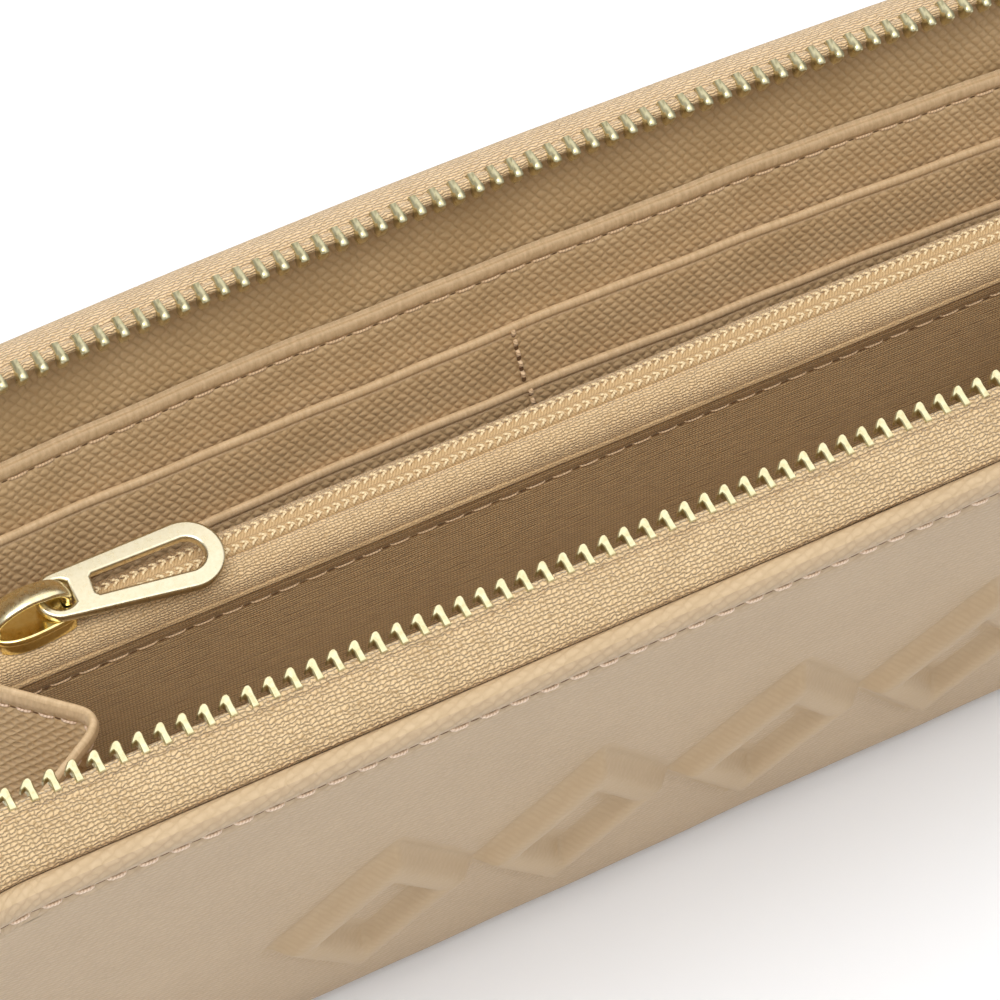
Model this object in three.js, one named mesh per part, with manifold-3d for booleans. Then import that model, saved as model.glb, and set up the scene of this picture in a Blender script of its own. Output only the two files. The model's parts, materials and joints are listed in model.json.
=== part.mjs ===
// A long zip-around wallet, standing on its spine with its covers part open.
// Millimetres, +Z up, +X along the wallet, the front cover towards -Y.
// The origin is the middle of the spine's flat underside.
// Each half is drawn shut, then turned open about its own spine fold.
import * as THREE from "three";
import { mergeVertices } from "three/addons/utils/BufferGeometryUtils.js";
import Module from "manifold-3d";

const wasm = await Module();
wasm.setup();

// ---- Driving dimensions ----
const LENGTH = 196; // covers, end to end
const TOP = 98; // top edge of a shut cover
const THICKNESS = 24; // over both shut covers
const CORNER = 12; // covers' upper corner radius
const FRONT_OPEN = 19; // degrees that the front cover leans out
const BACK_OPEN = 6.5; // degrees that the back cover leans out
const DIVIDER_LEAN = 3; // degrees that the coin pocket leans back
const GAP = 0.3; // between pieces that touch

const COVER = 1.4; // cover leather
const BOARD = 1.0; // stiffener
const CLOTH = 0.5; // lining cloth and zip tape
const SKIN = 0.7; // pocket leather
const FOLD_Z = 1.4; // height of the two spine folds
const COVER_FOOT = 2.4; // lower edge of a shut cover

const HALF = THICKNESS / 2;
const FOLD_Y = HALF - COVER / 2;
const END_X = LENGTH / 2;

// Inner faces of each half's layers, as distances from the shut wallet's middle plane.
const BOARD_OUT = HALF - COVER - GAP;
const TAPE_OUT = BOARD_OUT - BOARD - GAP;
const LINING_OUT = TAPE_OUT - CLOTH - GAP;
const POCKET_OUT = LINING_OUT - CLOTH - GAP;
const POCKET_STEP = SKIN + GAP;
const POCKET_DROPS = [11.1, 20.4, 29.6, 39]; // pocket edges below the covers' top
const POCKET_HALF_LENGTH = 92;
const POCKET_FOOT = 5;

// Main zip: teeth every PITCH along the covers' three open sides.
const PITCH = 2.5;
const TOOTH = { along: 0.95, thick: 1.5, from: 2.8, to: 0.7 };
const CORD = { from: 3.5, to: 2.4, thick: 1.9 };
const TAPE_FOOT = 8;
const CORNER_STEPS = 6;

// Coin pocket, drawn upright on the middle plane.
const COIN_HALF_LENGTH = 79.5;
const COIN_FOOT = 6;
const COIN_TOP = 70.4;
const COIN_TAPE_Z = 73.6;
const COIN_SLIDER_X = -68.5;
const MAIN_SLIDER_Z = 13;
const MAIN_TRACK_OUT = 2.8; // main zip's track beyond the covers' edge

// Raised lozenges pressed into the front cover.
const MOTIF = { count: 4, pitch: 27, width: 22, height: 36, stroke: 5.4, z: 39, raise: 0.8 };

const COLORS = {
  leather: 0xcfa97c,
  board: 0xb9ab94,
  cloth: 0x8f7350,
  tape: 0xd9b680,
  pocket: 0xb4916a,
  gold: 0xd8cda0,
  coil: 0xcfa67c,
};

const material = (color, roughness, metalness = 0) => () =>
  new THREE.MeshStandardMaterial({ color, roughness, metalness });
const LEATHER = material(COLORS.leather, 0.6);
const POCKET = material(COLORS.pocket, 0.65);
const FIBRE = material(COLORS.board, 0.9);
const LINING = material(COLORS.cloth, 0.95);
const WOVEN = material(COLORS.tape, 0.9);
const GOLD = material(COLORS.gold, 0.25, 1);
const NYLON = material(COLORS.coil, 0.5);

const radians = THREE.MathUtils.degToRad;

const wallet = new THREE.Group();

function add(parent, name, geometry, makeMaterial) {
  const mesh = new THREE.Mesh(geometry, makeMaterial());
  mesh.name = name;
  parent.add(mesh);
  return mesh;
}

// ---- Solids ----

function toSolid(geometry) {
  const bare = geometry.clone();
  bare.deleteAttribute("normal");
  bare.deleteAttribute("uv");
  const merged = mergeVertices(bare, 1e-4);
  return new wasm.Manifold(
    new wasm.Mesh({
      numProp: 3,
      vertProperties: merged.attributes.position.array,
      triVerts: new Uint32Array(merged.index.array),
    }),
  );
}

function toGeometry(solid) {
  const mesh = solid.getMesh();
  return new THREE.BufferGeometry()
    .setAttribute("position", new THREE.BufferAttribute(mesh.vertProperties, 3))
    .setIndex(new THREE.BufferAttribute(mesh.triVerts, 1));
}

function join(geometries) {
  return toGeometry(geometries.map(toSolid).reduce((all, next) => all.add(next)));
}

function block(x0, x1, y0, y1, z0, z1) {
  const box = new THREE.BoxGeometry(x1 - x0, y1 - y0, z1 - z0);
  return box.translate((x0 + x1) / 2, (y0 + y1) / 2, (z0 + z1) / 2);
}

// A sheet parallel to the covers: an outline in X and Z, between two distances in Y.
function sheet(shape, y0, y1, curveSegments = 6) {
  const flat = new THREE.ExtrudeGeometry(shape, {
    depth: y1 - y0,
    bevelEnabled: false,
    curveSegments,
  });
  return flat.rotateX(Math.PI / 2).translate(0, y1, 0);
}

// A strip along the wallet: an outline in Y and Z, between two distances in X.
function strip(points, x0, x1) {
  const shape = new THREE.Shape(points.map(([y, z]) => new THREE.Vector2(y, z)));
  const flat = new THREE.ExtrudeGeometry(shape, { depth: x1 - x0, bevelEnabled: false });
  const turn = new THREE.Matrix4().makeBasis(
    new THREE.Vector3(0, 1, 0),
    new THREE.Vector3(0, 0, 1),
    new THREE.Vector3(1, 0, 0),
  );
  return flat.applyMatrix4(turn).translate(x0, 0, 0);
}

// A plate with round upper corners.
function plate(halfLength, z0, z1, radius) {
  const shape = new THREE.Shape();
  shape.moveTo(-halfLength, z0);
  shape.lineTo(halfLength, z0);
  shape.lineTo(halfLength, z1 - radius);
  shape.absarc(halfLength - radius, z1 - radius, radius, 0, Math.PI / 2);
  shape.lineTo(-halfLength + radius, z1);
  shape.absarc(-halfLength + radius, z1 - radius, radius, Math.PI / 2, Math.PI);
  shape.closePath();
  return shape;
}

// ---- The open edge: up the right end, along the top and down the left end ----

const RISE = TOP - CORNER - TAPE_FOOT;
const ARC = (CORNER * Math.PI) / 2;
const RUN = LENGTH - 2 * CORNER;
const EDGE_LENGTH = 2 * (RISE + ARC) + RUN;

// Point and outward normal at a distance along the edge.
function edgeAt(distance) {
  const half = EDGE_LENGTH / 2;
  const side = distance < half ? 1 : -1;
  const d = half - Math.abs(distance - half);
  if (d <= RISE) return { x: side * END_X, z: TAPE_FOOT + d, nx: side, nz: 0 };
  if (d >= RISE + ARC) {
    return { x: side * (RUN / 2 - (d - RISE - ARC)), z: TOP, nx: 0, nz: 1 };
  }
  const turn = (d - RISE) / CORNER;
  const nx = side * Math.cos(turn);
  const nz = Math.sin(turn);
  return {
    x: side * (END_X - CORNER) + nx * CORNER,
    z: TOP - CORNER + nz * CORNER,
    nx,
    nz,
  };
}

function edgeStations() {
  const corner = [];
  for (let i = 0; i <= CORNER_STEPS; i++) corner.push(RISE + (ARC * i) / CORNER_STEPS);
  return [0, ...corner, ...corner.map((d) => EDGE_LENGTH - d).reverse(), EDGE_LENGTH];
}

// Sweeps a closed outline of [outward, y] points round the open edge.
function sweep(outline) {
  const rings = edgeStations().map((d) => {
    const at = edgeAt(d);
    return outline.map(([out, y]) => [at.x + at.nx * out, y, at.z + at.nz * out]);
  });
  const positions = rings.flat(2);
  const n = outline.length;
  const index = [];
  for (let r = 0; r + 1 < rings.length; r++) {
    for (let i = 0; i < n; i++) {
      const a = r * n + i;
      const b = r * n + ((i + 1) % n);
      index.push(a, b, b + n, a, b + n, a + n);
    }
  }
  const last = (rings.length - 1) * n;
  const cap = THREE.ShapeUtils.triangulateShape(
    outline.map(([out, y]) => new THREE.Vector2(out, y)),
    [],
  );
  for (const [a, b, c] of cap) index.push(a, c, b, last + a, last + b, last + c);
  return new THREE.BufferGeometry()
    .setAttribute("position", new THREE.Float32BufferAttribute(positions, 3))
    .setIndex(index);
}

// Outline of a ribbon of even thickness along [outward, y] points, counterclockwise.
function ribbon(points, thickness) {
  const left = [];
  const right = [];
  points.forEach(([out, y], i) => {
    const [o0, y0] = points[Math.max(i - 1, 0)];
    const [o1, y1] = points[Math.min(i + 1, points.length - 1)];
    const size = Math.hypot(o1 - o0, y1 - y0) / (thickness / 2);
    const side = [-(y1 - y0) / size, (o1 - o0) / size];
    left.unshift([out + side[0], y + side[1]]);
    right.push([out - side[0], y - side[1]]);
  });
  const outline = [...right, ...left];
  const shape = outline.map(([out, y]) => new THREE.Vector2(out, y));
  return THREE.ShapeUtils.isClockWise(shape) ? outline.reverse() : outline;
}

// ---- One half: cover, stiffener, zip side, lining and pockets ----

// The zip tape's line from inside the seam to the teeth: [outward, distance from middle].
const TAPE_SEAM = [-7, TAPE_OUT - CLOTH / 2];
const TAPE_END = CORD.from + GAP;
const FRONT_TAPE = [TAPE_SEAM, [-1, TAPE_OUT - CLOTH / 2], [0.7, 6.9], [1.7, TAPE_END]];
const BACK_TAPE = [TAPE_SEAM, [-1, TAPE_OUT - CLOTH / 2], [2.4, 8.1], [4.1, 5.8], [4.1, TAPE_END]];

function zipTeeth(side, headOut, tailOut, offset) {
  const beadLine = [[tailOut, side * CORD.from], [tailOut, side * CORD.to]];
  const cord = sweep(ribbon(beadLine, CORD.thick));
  const { along, thick, from, to } = TOOTH;
  const slope = Math.atan2(headOut - tailOut, from - to);
  const teeth = [];
  for (let d = PITCH * offset + 1; d < EDGE_LENGTH - 1; d += PITCH) {
    const at = edgeAt(d);
    const middle = (from + to) / 2;
    const out = (headOut + tailOut) / 2;
    const box = new THREE.BoxGeometry(along, from - to, thick);
    box.rotateX(side * -slope);
    const turn = new THREE.Matrix4().makeBasis(
      new THREE.Vector3(at.nz, 0, -at.nx),
      new THREE.Vector3(0, 1, 0),
      new THREE.Vector3(at.nx, 0, at.nz),
    );
    box.applyMatrix4(turn);
    teeth.push(box.translate(at.x + at.nx * out, side * middle, at.z + at.nz * out));
  }
  return join([cord, ...teeth]);
}

function lozenge(width, height) {
  const shape = new THREE.Shape();
  shape.moveTo(0, -height / 2);
  shape.lineTo(width / 2, 0);
  shape.lineTo(0, height / 2);
  shape.lineTo(-width / 2, 0);
  shape.closePath();
  return shape;
}

function coverLeather(side, raised) {
  const y0 = side < 0 ? -HALF : HALF - COVER;
  const slab = sheet(plate(END_X, COVER_FOOT, TOP, CORNER), y0, y0 + COVER);
  if (!raised) return slab;
  const { count, pitch, width, height, stroke, z, raise } = MOTIF;
  const pads = [];
  for (let i = 0; i < count; i++) {
    const ring = lozenge(width, height);
    ring.holes.push(lozenge(width - 2 * stroke, height - (2 * stroke * height) / width));
    const pad = sheet(ring, -HALF - raise, -HALF + COVER / 2);
    pads.push(pad.translate((i - (count - 1) / 2) * pitch, 0, z));
  }
  return join([slab, ...pads]);
}

// A sheet of the half, from its outer face inwards by its thickness.
function layer(side, shape, outer, thickness) {
  const y = [side * outer, side * (outer - thickness)].sort((a, b) => a - b);
  return sheet(shape, y[0], y[1]);
}

function makeHalf(name, side, lean, tapeLine, toothOut) {
  const half = new THREE.Group();
  const margin = 4;
  const named = (piece) => name + "_" + piece;
  add(half, named("cover_leather"), coverLeather(side, name === "front"), LEATHER);
  const stiff = plate(END_X - 2, COVER_FOOT + margin, TOP - 2, CORNER - 2);
  add(half, named("cover_board"), layer(side, stiff, BOARD_OUT, BOARD), FIBRE);
  const line = tapeLine.map(([out, y]) => [out, side * y]);
  add(half, named("zip_tape"), sweep(ribbon(line, CLOTH)), WOVEN);
  const teeth = zipTeeth(side, toothOut.head, toothOut.tail, side < 0 ? 0 : 0.5);
  add(half, named("zip_teeth"), teeth, GOLD);
  const lining = plate(END_X - 2.5, COVER_FOOT + margin / 2, TOP - 2.5, CORNER - 2.5);
  add(half, named("lining"), layer(side, lining, LINING_OUT, CLOTH), LINING);
  const pockets = ["slip_pocket", "card_panel_upper", "card_panel_middle", "card_panel_lower"];
  pockets.forEach((pocket, i) => {
    const shape = plate(POCKET_HALF_LENGTH, POCKET_FOOT, TOP - POCKET_DROPS[i], 1.5);
    const outer = POCKET_OUT - i * POCKET_STEP;
    add(half, named(pocket), layer(side, shape, outer, SKIN), POCKET);
  });
  turnOpen(half, side, lean);
}

// Turns a half open about its spine fold.
function turnOpen(half, side, lean) {
  const fold = new THREE.Vector3(0, side * FOLD_Y, FOLD_Z);
  half.position.copy(fold).negate();
  const hinge = new THREE.Group();
  hinge.position.copy(fold);
  hinge.rotation.x = radians(-side * lean);
  hinge.add(half);
  wallet.add(hinge);
}

// ---- Spine ----

function makeSpine() {
  const rounding = 1.2;
  const leather = [
    [-HALF + rounding, 0],
    [HALF - rounding, 0],
    [HALF, rounding],
    [HALF, COVER],
    [-HALF, COVER],
    [-HALF, rounding],
  ];
  add(wallet, "spine_leather", strip(leather, -END_X, END_X), LEATHER);
  const boardZ = COVER + GAP;
  const board = block(-END_X + 2, END_X - 2, -8, 8, boardZ, boardZ + BOARD);
  add(wallet, "spine_board", board, FIBRE);
  const liningZ = boardZ + BOARD + GAP;
  const lining = block(-END_X + 3, END_X - 3, -7.2, 7.2, liningZ, liningZ + CLOTH);
  add(wallet, "spine_lining", lining, LINING);
  for (const [end, side] of [["left", -1], ["right", 1]]) {
    const x = [side * (END_X - 2.6), side * (END_X - 0.4)].sort((a, b) => a - b);
    const foot = liningZ + CLOTH + GAP;
    add(wallet, "zip_end_tab_" + end, block(x[0], x[1], -3, 3, foot, foot + 3), LEATHER);
  }
}

// ---- Coin pocket in the middle ----

const mirrorY = (points) => points.map(([y, z]) => [-y, z]).reverse();

// Outlines of the pocket's front side, from the foot up to the zip coil.
const COIN_WALL = [
  [-2.6, COIN_FOOT],
  [-2.0, COIN_FOOT],
  [-3.3, COIN_TOP],
  [-3.9, COIN_TOP],
];
const COIN_EDGE = [
  [-4.5, COIN_TOP + 0.4],
  [-3.1, COIN_TOP + 0.4],
  [-3.1, COIN_TOP + 1.2],
  [-3.8, COIN_TOP + 1.5],
  [-4.5, COIN_TOP + 1.2],
];
const COIN_TAPE = [
  [-4.4, COIN_TAPE_Z - 1.3],
  [-0.7, COIN_TAPE_Z - 0.5],
  [-0.7, COIN_TAPE_Z],
  [-4.4, COIN_TAPE_Z - 0.8],
];
const COIN_COIL = [
  [-2.3, COIN_TAPE_Z + GAP],
  [-0.7, COIN_TAPE_Z + GAP],
  [-0.7, COIN_TAPE_Z + 1.2],
  [-1.1, COIN_TAPE_Z + 1.5],
  [-1.9, COIN_TAPE_Z + 1.5],
  [-2.3, COIN_TAPE_Z + 1.2],
];

function makeCoinPocket() {
  const pocket = new THREE.Group();
  const x = COIN_HALF_LENGTH;
  for (const [side, shape] of [["front", (p) => p], ["back", mirrorY]]) {
    const named = (piece) => "coin_" + piece + "_" + side;
    add(pocket, named("pocket_wall"), strip(shape(COIN_WALL), -x, x), LINING);
    add(pocket, named("pocket_edge"), strip(shape(COIN_EDGE), -x, x), LEATHER);
    add(pocket, named("zip_tape"), strip(shape(COIN_TAPE), -x + 1, x - 1), WOVEN);
    add(pocket, named("zip_coil"), strip(shape(COIN_COIL), -x + 6, x - 6), NYLON);
  }
  const base = block(-x, x, -1.6, 1.6, COIN_FOOT, COIN_FOOT + 0.8);
  add(pocket, "coin_pocket_base", base, LINING);
  for (const [end, side] of [["left", -1], ["right", 1]]) {
    const stopX = [side * (x - 5.6), side * (x - 4)].sort((a, b) => a - b);
    const stop = block(stopX[0], stopX[1], -2.4, 2.4, COIN_TAPE_Z + GAP, COIN_TAPE_Z + 1.6);
    add(pocket, "coin_zip_stop_" + end, stop, GOLD);
    const endX = [side * (x - 2.5), side * (x - 0.5)].sort((a, b) => a - b);
    const seam = block(endX[0], endX[1], -1.6, 1.6, COIN_FOOT + 1.1, COIN_TOP - 2);
    add(pocket, "coin_pocket_end_" + end, seam, LEATHER);
  }
  placeCoinSlider(pocket);
  const hinge = new THREE.Group();
  hinge.position.z = COIN_FOOT;
  hinge.rotation.x = radians(-DIVIDER_LEAN);
  pocket.position.z = -COIN_FOOT;
  hinge.add(pocket);
  wallet.add(hinge);
}

// ---- Sliders and pullers ----
// Drawn with the zip running along X, the track's middle at height 0, the nose at -X.

const COIN_SLIDER = {
  length: 10.6,
  width: 6.2,
  lower: -1.3,
  upper: 1.9,
  wall: 0.9,
  post: 0.8,
  crown: 1.7,
  facing: 1,
  puller: { length: 22.5, width: 8.8, thick: 1.3, slot: 13 },
};
const MAIN_SLIDER = {
  length: 11.5,
  width: 7.4,
  lower: -2.4,
  upper: 2.4,
  wall: 1.0,
  post: 0.8,
  crown: 1.9,
  facing: -1,
  puller: { length: 24, width: 7, thick: 1.4, slot: 13 },
};

const CROWN_REACH = 4.7; // half the bridge's length, so its foot stands in the puller's eye
const CROWN_AHEAD = 0.6; // from the slider's middle to the bridge's, on the puller's side
const PIVOT_AHEAD = 2; // from the slider's middle to the puller's pivot

function sliderPlate(s) {
  const l = s.length / 2;
  const w = s.width / 2;
  const shape = new THREE.Shape();
  shape.moveTo(l, -w * 0.75);
  shape.lineTo(l, w * 0.75);
  shape.quadraticCurveTo(l * 0.2, w, -l * 0.3, w);
  shape.quadraticCurveTo(-l * 0.9, w * 0.9, -l, 0);
  shape.quadraticCurveTo(-l * 0.9, -w * 0.9, -l * 0.3, -w);
  shape.quadraticCurveTo(l * 0.2, -w, l, -w * 0.75);
  return shape;
}

function level(shape, z0, z1) {
  const options = { depth: z1 - z0, bevelEnabled: false, curveSegments: 4 };
  return new THREE.ExtrudeGeometry(shape, options).translate(0, 0, z0);
}

function sliderBody(s) {
  const shape = sliderPlate(s);
  const l = s.length / 2;
  return join([
    level(shape, s.upper, s.upper + s.wall),
    level(shape, s.lower - s.wall, s.lower),
    block(-l * 0.8, -l * 0.2, -s.post / 2, s.post / 2, s.lower - 0.2, s.upper + 0.2),
  ]);
}

// The arched bridge on the upper plate that holds the puller.
function sliderCrown(s) {
  const foot = s.upper + s.wall + GAP;
  const l = CROWN_REACH;
  const rise = s.crown + 1.5;
  const arch = new THREE.Shape();
  arch.moveTo(-l, foot);
  arch.quadraticCurveTo(-l, foot + rise, -l * 0.3, foot + rise);
  arch.lineTo(l * 0.3, foot + rise);
  arch.quadraticCurveTo(l, foot + rise, l, foot);
  arch.lineTo(l - 0.8, foot);
  arch.quadraticCurveTo(l - 0.8, foot + s.crown + 0.7, l * 0.3, foot + s.crown + 0.7);
  arch.lineTo(-l * 0.3, foot + s.crown + 0.7);
  arch.quadraticCurveTo(-l + 0.8, foot + s.crown + 0.7, -l + 0.8, foot);
  const options = { depth: 2, bevelEnabled: false, curveSegments: 4 };
  return new THREE.ExtrudeGeometry(arch, options).rotateX(Math.PI / 2).translate(0, 1, 0);
}

// Height of the puller's middle over the track.
const pullerZ = (s) => s.upper + s.wall + 2 * GAP + s.puller.thick / 2;

function pullerPlate(s) {
  const { length, width, thick, slot } = s.puller;
  const w = width / 2;
  const narrow = w * 0.72;
  const shape = new THREE.Shape();
  shape.moveTo(-0.7, -narrow * 0.6);
  shape.quadraticCurveTo(-0.2, -narrow, 2, -narrow);
  shape.lineTo(length - w - 0.7, -w);
  shape.absarc(length - w - 0.7, 0, w, -Math.PI / 2, Math.PI / 2);
  shape.lineTo(2, narrow);
  shape.quadraticCurveTo(-0.2, narrow, -0.7, narrow * 0.6);
  shape.closePath();
  const eye = new THREE.Path();
  eye.moveTo(0.6, -1.3);
  eye.lineTo(0.6, 1.3);
  eye.lineTo(3.4, 1.3);
  eye.quadraticCurveTo(4.4, 0, 3.4, -1.3);
  eye.closePath();
  const grip = new THREE.Path();
  const inner = w - 1.5;
  const end = length - 0.7 - 1.5 - inner;
  grip.moveTo(end - slot + inner, -inner * 0.75);
  grip.lineTo(end - slot + inner, inner * 0.75);
  grip.lineTo(end, inner);
  grip.absarc(end, 0, inner, Math.PI / 2, -Math.PI / 2, true);
  grip.closePath();
  shape.holes.push(eye, grip);
  return level(shape, -thick / 2, thick / 2);
}

// A slider's body, bridge and puller in one frame of their own.
function addSlider(parent, name, s) {
  const frame = new THREE.Group();
  add(frame, name + "_slider_body", sliderBody(s), GOLD);
  const crown = add(frame, name + "_slider_crown", sliderCrown(s), GOLD);
  crown.position.x = s.facing * CROWN_AHEAD;
  const puller = add(frame, name + "_puller", pullerPlate(s), GOLD);
  puller.position.set(s.facing * PIVOT_AHEAD, 0, pullerZ(s));
  if (s.facing < 0) puller.rotation.z = Math.PI;
  parent.add(frame);
  return frame;
}

function placeCoinSlider(pocket) {
  const frame = addSlider(pocket, "coin", COIN_SLIDER);
  frame.position.set(COIN_SLIDER_X, 0, COIN_TAPE_Z);
}

// The main zip's track runs down the right end, so the nose points up.
function placeMainSlider() {
  const frame = addSlider(wallet, "main", MAIN_SLIDER);
  frame.rotation.y = Math.PI / 2;
  frame.position.set(END_X + MAIN_TRACK_OUT, 0, MAIN_SLIDER_Z);
}

// ---- Gussets: one V-folded leaf at each end of each compartment ----

const GUSSET = { foot: 7, top: 79, thick: 0.9, wallX: 90, foldX: 69, coinX: 80.7 };

// Where the half's innermost pocket face stands at a height, when it leans open.
function halfFaceY(side, lean, z) {
  const inner = FOLD_Y - (POCKET_OUT - 4 * POCKET_STEP) + 0.6;
  const turn = radians(lean);
  const run = (z - FOLD_Z - inner * Math.sin(turn)) / Math.cos(turn);
  return side * (FOLD_Y - inner * Math.cos(turn) + run * Math.sin(turn));
}

// Where the coin pocket's side stands at a height, with room for the leaf's thickness.
function coinFaceY(side, z) {
  const rise = z - COIN_FOOT;
  return Math.sin(radians(DIVIDER_LEAN)) * rise + side * (3.2 + rise * 0.03);
}

function gussetLeaf(end, side, lean) {
  const rows = [GUSSET.foot, GUSSET.top].map((z) => {
    const wall = [GUSSET.wallX, halfFaceY(side, lean, z)];
    const coin = [GUSSET.coinX, coinFaceY(side, z)];
    const depth = Math.min(1, Math.abs(wall[1] - coin[1]) / 22);
    const foldX = GUSSET.coinX - (GUSSET.coinX - GUSSET.foldX) * depth;
    const fold = [foldX, (wall[1] + coin[1]) / 2];
    return { z, line: [wall, fold, coin] };
  });
  const positions = [];
  for (const { z, line } of rows) {
    for (const [x, y] of line) positions.push(end * x, y, z);
    for (const [x, y] of line) positions.push(end * (x - GUSSET.thick), y, z);
  }
  const index = [];
  const quad = (a, b, c, d) => index.push(a, b, c, a, c, d);
  for (let i = 0; i < 2; i++) {
    quad(i, i + 1, i + 7, i + 6);
    quad(i + 4, i + 3, i + 9, i + 10);
    quad(i + 1, i, i + 3, i + 4);
    quad(i + 6, i + 7, i + 10, i + 9);
  }
  quad(3, 0, 6, 9);
  quad(2, 5, 11, 8);
  const leaf = new THREE.BufferGeometry()
    .setAttribute("position", new THREE.Float32BufferAttribute(positions, 3))
    .setIndex(end * side < 0 ? index : index.reverse());
  return leaf;
}

function makeGussets() {
  for (const [endName, end] of [["left", -1], ["right", 1]]) {
    add(wallet, "gusset_front_" + endName, gussetLeaf(end, -1, FRONT_OPEN), POCKET);
    add(wallet, "gusset_back_" + endName, gussetLeaf(end, 1, BACK_OPEN), POCKET);
  }
}

makeSpine();
makeHalf("front", -1, FRONT_OPEN, FRONT_TAPE, { head: 2.0, tail: 1.7 });
makeHalf("back", 1, BACK_OPEN, BACK_TAPE, { head: 3.4, tail: 4.1 });
makeCoinPocket();
makeGussets();
placeMainSlider();

export default wallet;
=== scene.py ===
"""A long zip-around wallet standing part open on its spine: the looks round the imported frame.

Lengths are millimetres and are scaled once, where a mesh is made.
Each half is drawn shut, as x, distance from the middle plane and height, and then leaned open.
"""

import json
import math

import bpy
import numpy as np
from mathutils import Matrix, Vector


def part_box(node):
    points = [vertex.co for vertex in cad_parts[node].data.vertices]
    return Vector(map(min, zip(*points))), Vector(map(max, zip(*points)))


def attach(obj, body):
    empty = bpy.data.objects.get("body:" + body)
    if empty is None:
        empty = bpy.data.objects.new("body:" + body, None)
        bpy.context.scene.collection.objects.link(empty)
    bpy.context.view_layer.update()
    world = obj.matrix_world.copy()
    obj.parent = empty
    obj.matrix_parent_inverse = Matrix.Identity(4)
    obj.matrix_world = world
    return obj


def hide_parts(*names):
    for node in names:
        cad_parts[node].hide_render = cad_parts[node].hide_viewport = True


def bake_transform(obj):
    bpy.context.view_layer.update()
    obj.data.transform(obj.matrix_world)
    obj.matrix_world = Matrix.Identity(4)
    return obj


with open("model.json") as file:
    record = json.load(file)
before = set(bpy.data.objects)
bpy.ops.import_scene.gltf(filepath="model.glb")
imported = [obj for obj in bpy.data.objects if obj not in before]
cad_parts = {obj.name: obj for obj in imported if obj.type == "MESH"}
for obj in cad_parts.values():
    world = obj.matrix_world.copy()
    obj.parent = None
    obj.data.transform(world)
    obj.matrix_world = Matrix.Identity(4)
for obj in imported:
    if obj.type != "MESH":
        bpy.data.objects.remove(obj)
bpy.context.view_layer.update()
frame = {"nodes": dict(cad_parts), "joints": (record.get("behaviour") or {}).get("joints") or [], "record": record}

MM = 0.001

# ---- Sizes and turns of the frame ----

JOINTS = {j["name"]: j for j in frame["joints"]}
RATIOS = {c["joint"]: c["ratio"] for c in frame["record"]["behaviour"]["couplings"]}
FRONT, BACK = -1, 1
FRONT_LEAN = math.radians(-JOINTS["front_cover_opens"]["range_deg"][0])
LEAN = {FRONT: FRONT_LEAN, BACK: FRONT_LEAN * RATIOS["back_cover_opens"]}
COIN_LEAN = -FRONT_LEAN * RATIOS["coin_pocket_leans"]
FOLD_Y = JOINTS["back_cover_opens"]["pos_m"][1] / MM
FOLD_Z = JOINTS["back_cover_opens"]["pos_m"][2] / MM
COIN_FOOT = JOINTS["coin_pocket_leans"]["pos_m"][2] / MM
SIDES = {FRONT: "front", BACK: "back"}
ENDS = {-1: "left", 1: "right"}


def shut_box(node, side):
    """Lowest and highest x, distance from the middle and height of a half's node, drawn shut."""
    points = np.array([v.co for v in frame["nodes"][node].data.vertices]) / MM
    cos, sin = math.cos(LEAN[side]), math.sin(LEAN[side])
    out = side * points[:, 1] - FOLD_Y
    up = points[:, 2] - FOLD_Z
    shut = [points[:, 0], FOLD_Y + out * cos - up * sin, FOLD_Z + out * sin + up * cos]
    shut = np.stack(shut, -1)
    return shut.min(0), shut.max(0)


COVER_BOX = shut_box("back_cover_leather", BACK)
END_X = float(COVER_BOX[1][0])
TOP = float(COVER_BOX[1][2])
HALF = float(COVER_BOX[1][1])
CORNER = 12.0
SPINE_ROUND = 8.0
BACK_BOW = 3.6
BOW_MIDDLE = 0.45

# ---- Leather edges, seams and stitches ----

ROLL = 1.42
STITCH_IN = 3.2
SEAM_LOOK = 0.6  # how far ahead and back a stitch takes its direction from
COVER_SEAM = {"pitch": 3.6, "length": 2.6, "radius": 0.25, "gap": 1.0}
EDGE_SEAM = {"pitch": 3.4, "length": 2.7, "radius": 0.18, "gap": 0.6}
DIVIDER_SEAM = {"pitch": 1.75, "length": 1.05, "radius": 0.27, "gap": 1.1}
HEM_SEAM = {"pitch": 3.6, "length": 2.6, "radius": 0.13, "gap": 1.0}
GUSSET_SEAM = {"pitch": 2.6, "length": 2.0, "radius": 0.17, "gap": 1.0}

# ---- Main zip: profiles as (distance from the middle, outwards of the cover's edge) ----

ZIP_PITCH = 2.5
TAPE_FOOT = 8.0
TAPE_THICK = 0.5
TAPE_LINE = {
    FRONT: [(8.7, -6), (8.75, -1.8), (8.8, -0.8), (7.6, 0.1), (6.2, 0.6), (4.6, 0.95), (2.9, 1.15)],
    BACK: [(8.7, -6), (8.95, -1.2), (9.1, 1.2), (8.8, 3.4), (7.7, 4.8), (6.1, 5.1), (4.5, 4.5)],
}
BEAD = {FRONT: (2.5, 1.2), BACK: (3.9, 4.2)}
BEAD_RADIUS = 0.72
TOOTH_TAIL = {FRONT: (2.75, 1.5), BACK: (4.45, 5.05)}
TOOTH_HEAD = {FRONT: (0.1, 1.3), BACK: (2.1, 3.35)}
TOOTH_START = {FRONT: 1.0, BACK: 1.0 + ZIP_PITCH / 2}

# ---- Pockets of a half, from the cover inwards ----

POCKETS = ("slip_pocket", "card_panel_upper", "card_panel_middle", "card_panel_lower")


# ---- Placing points ----


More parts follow.
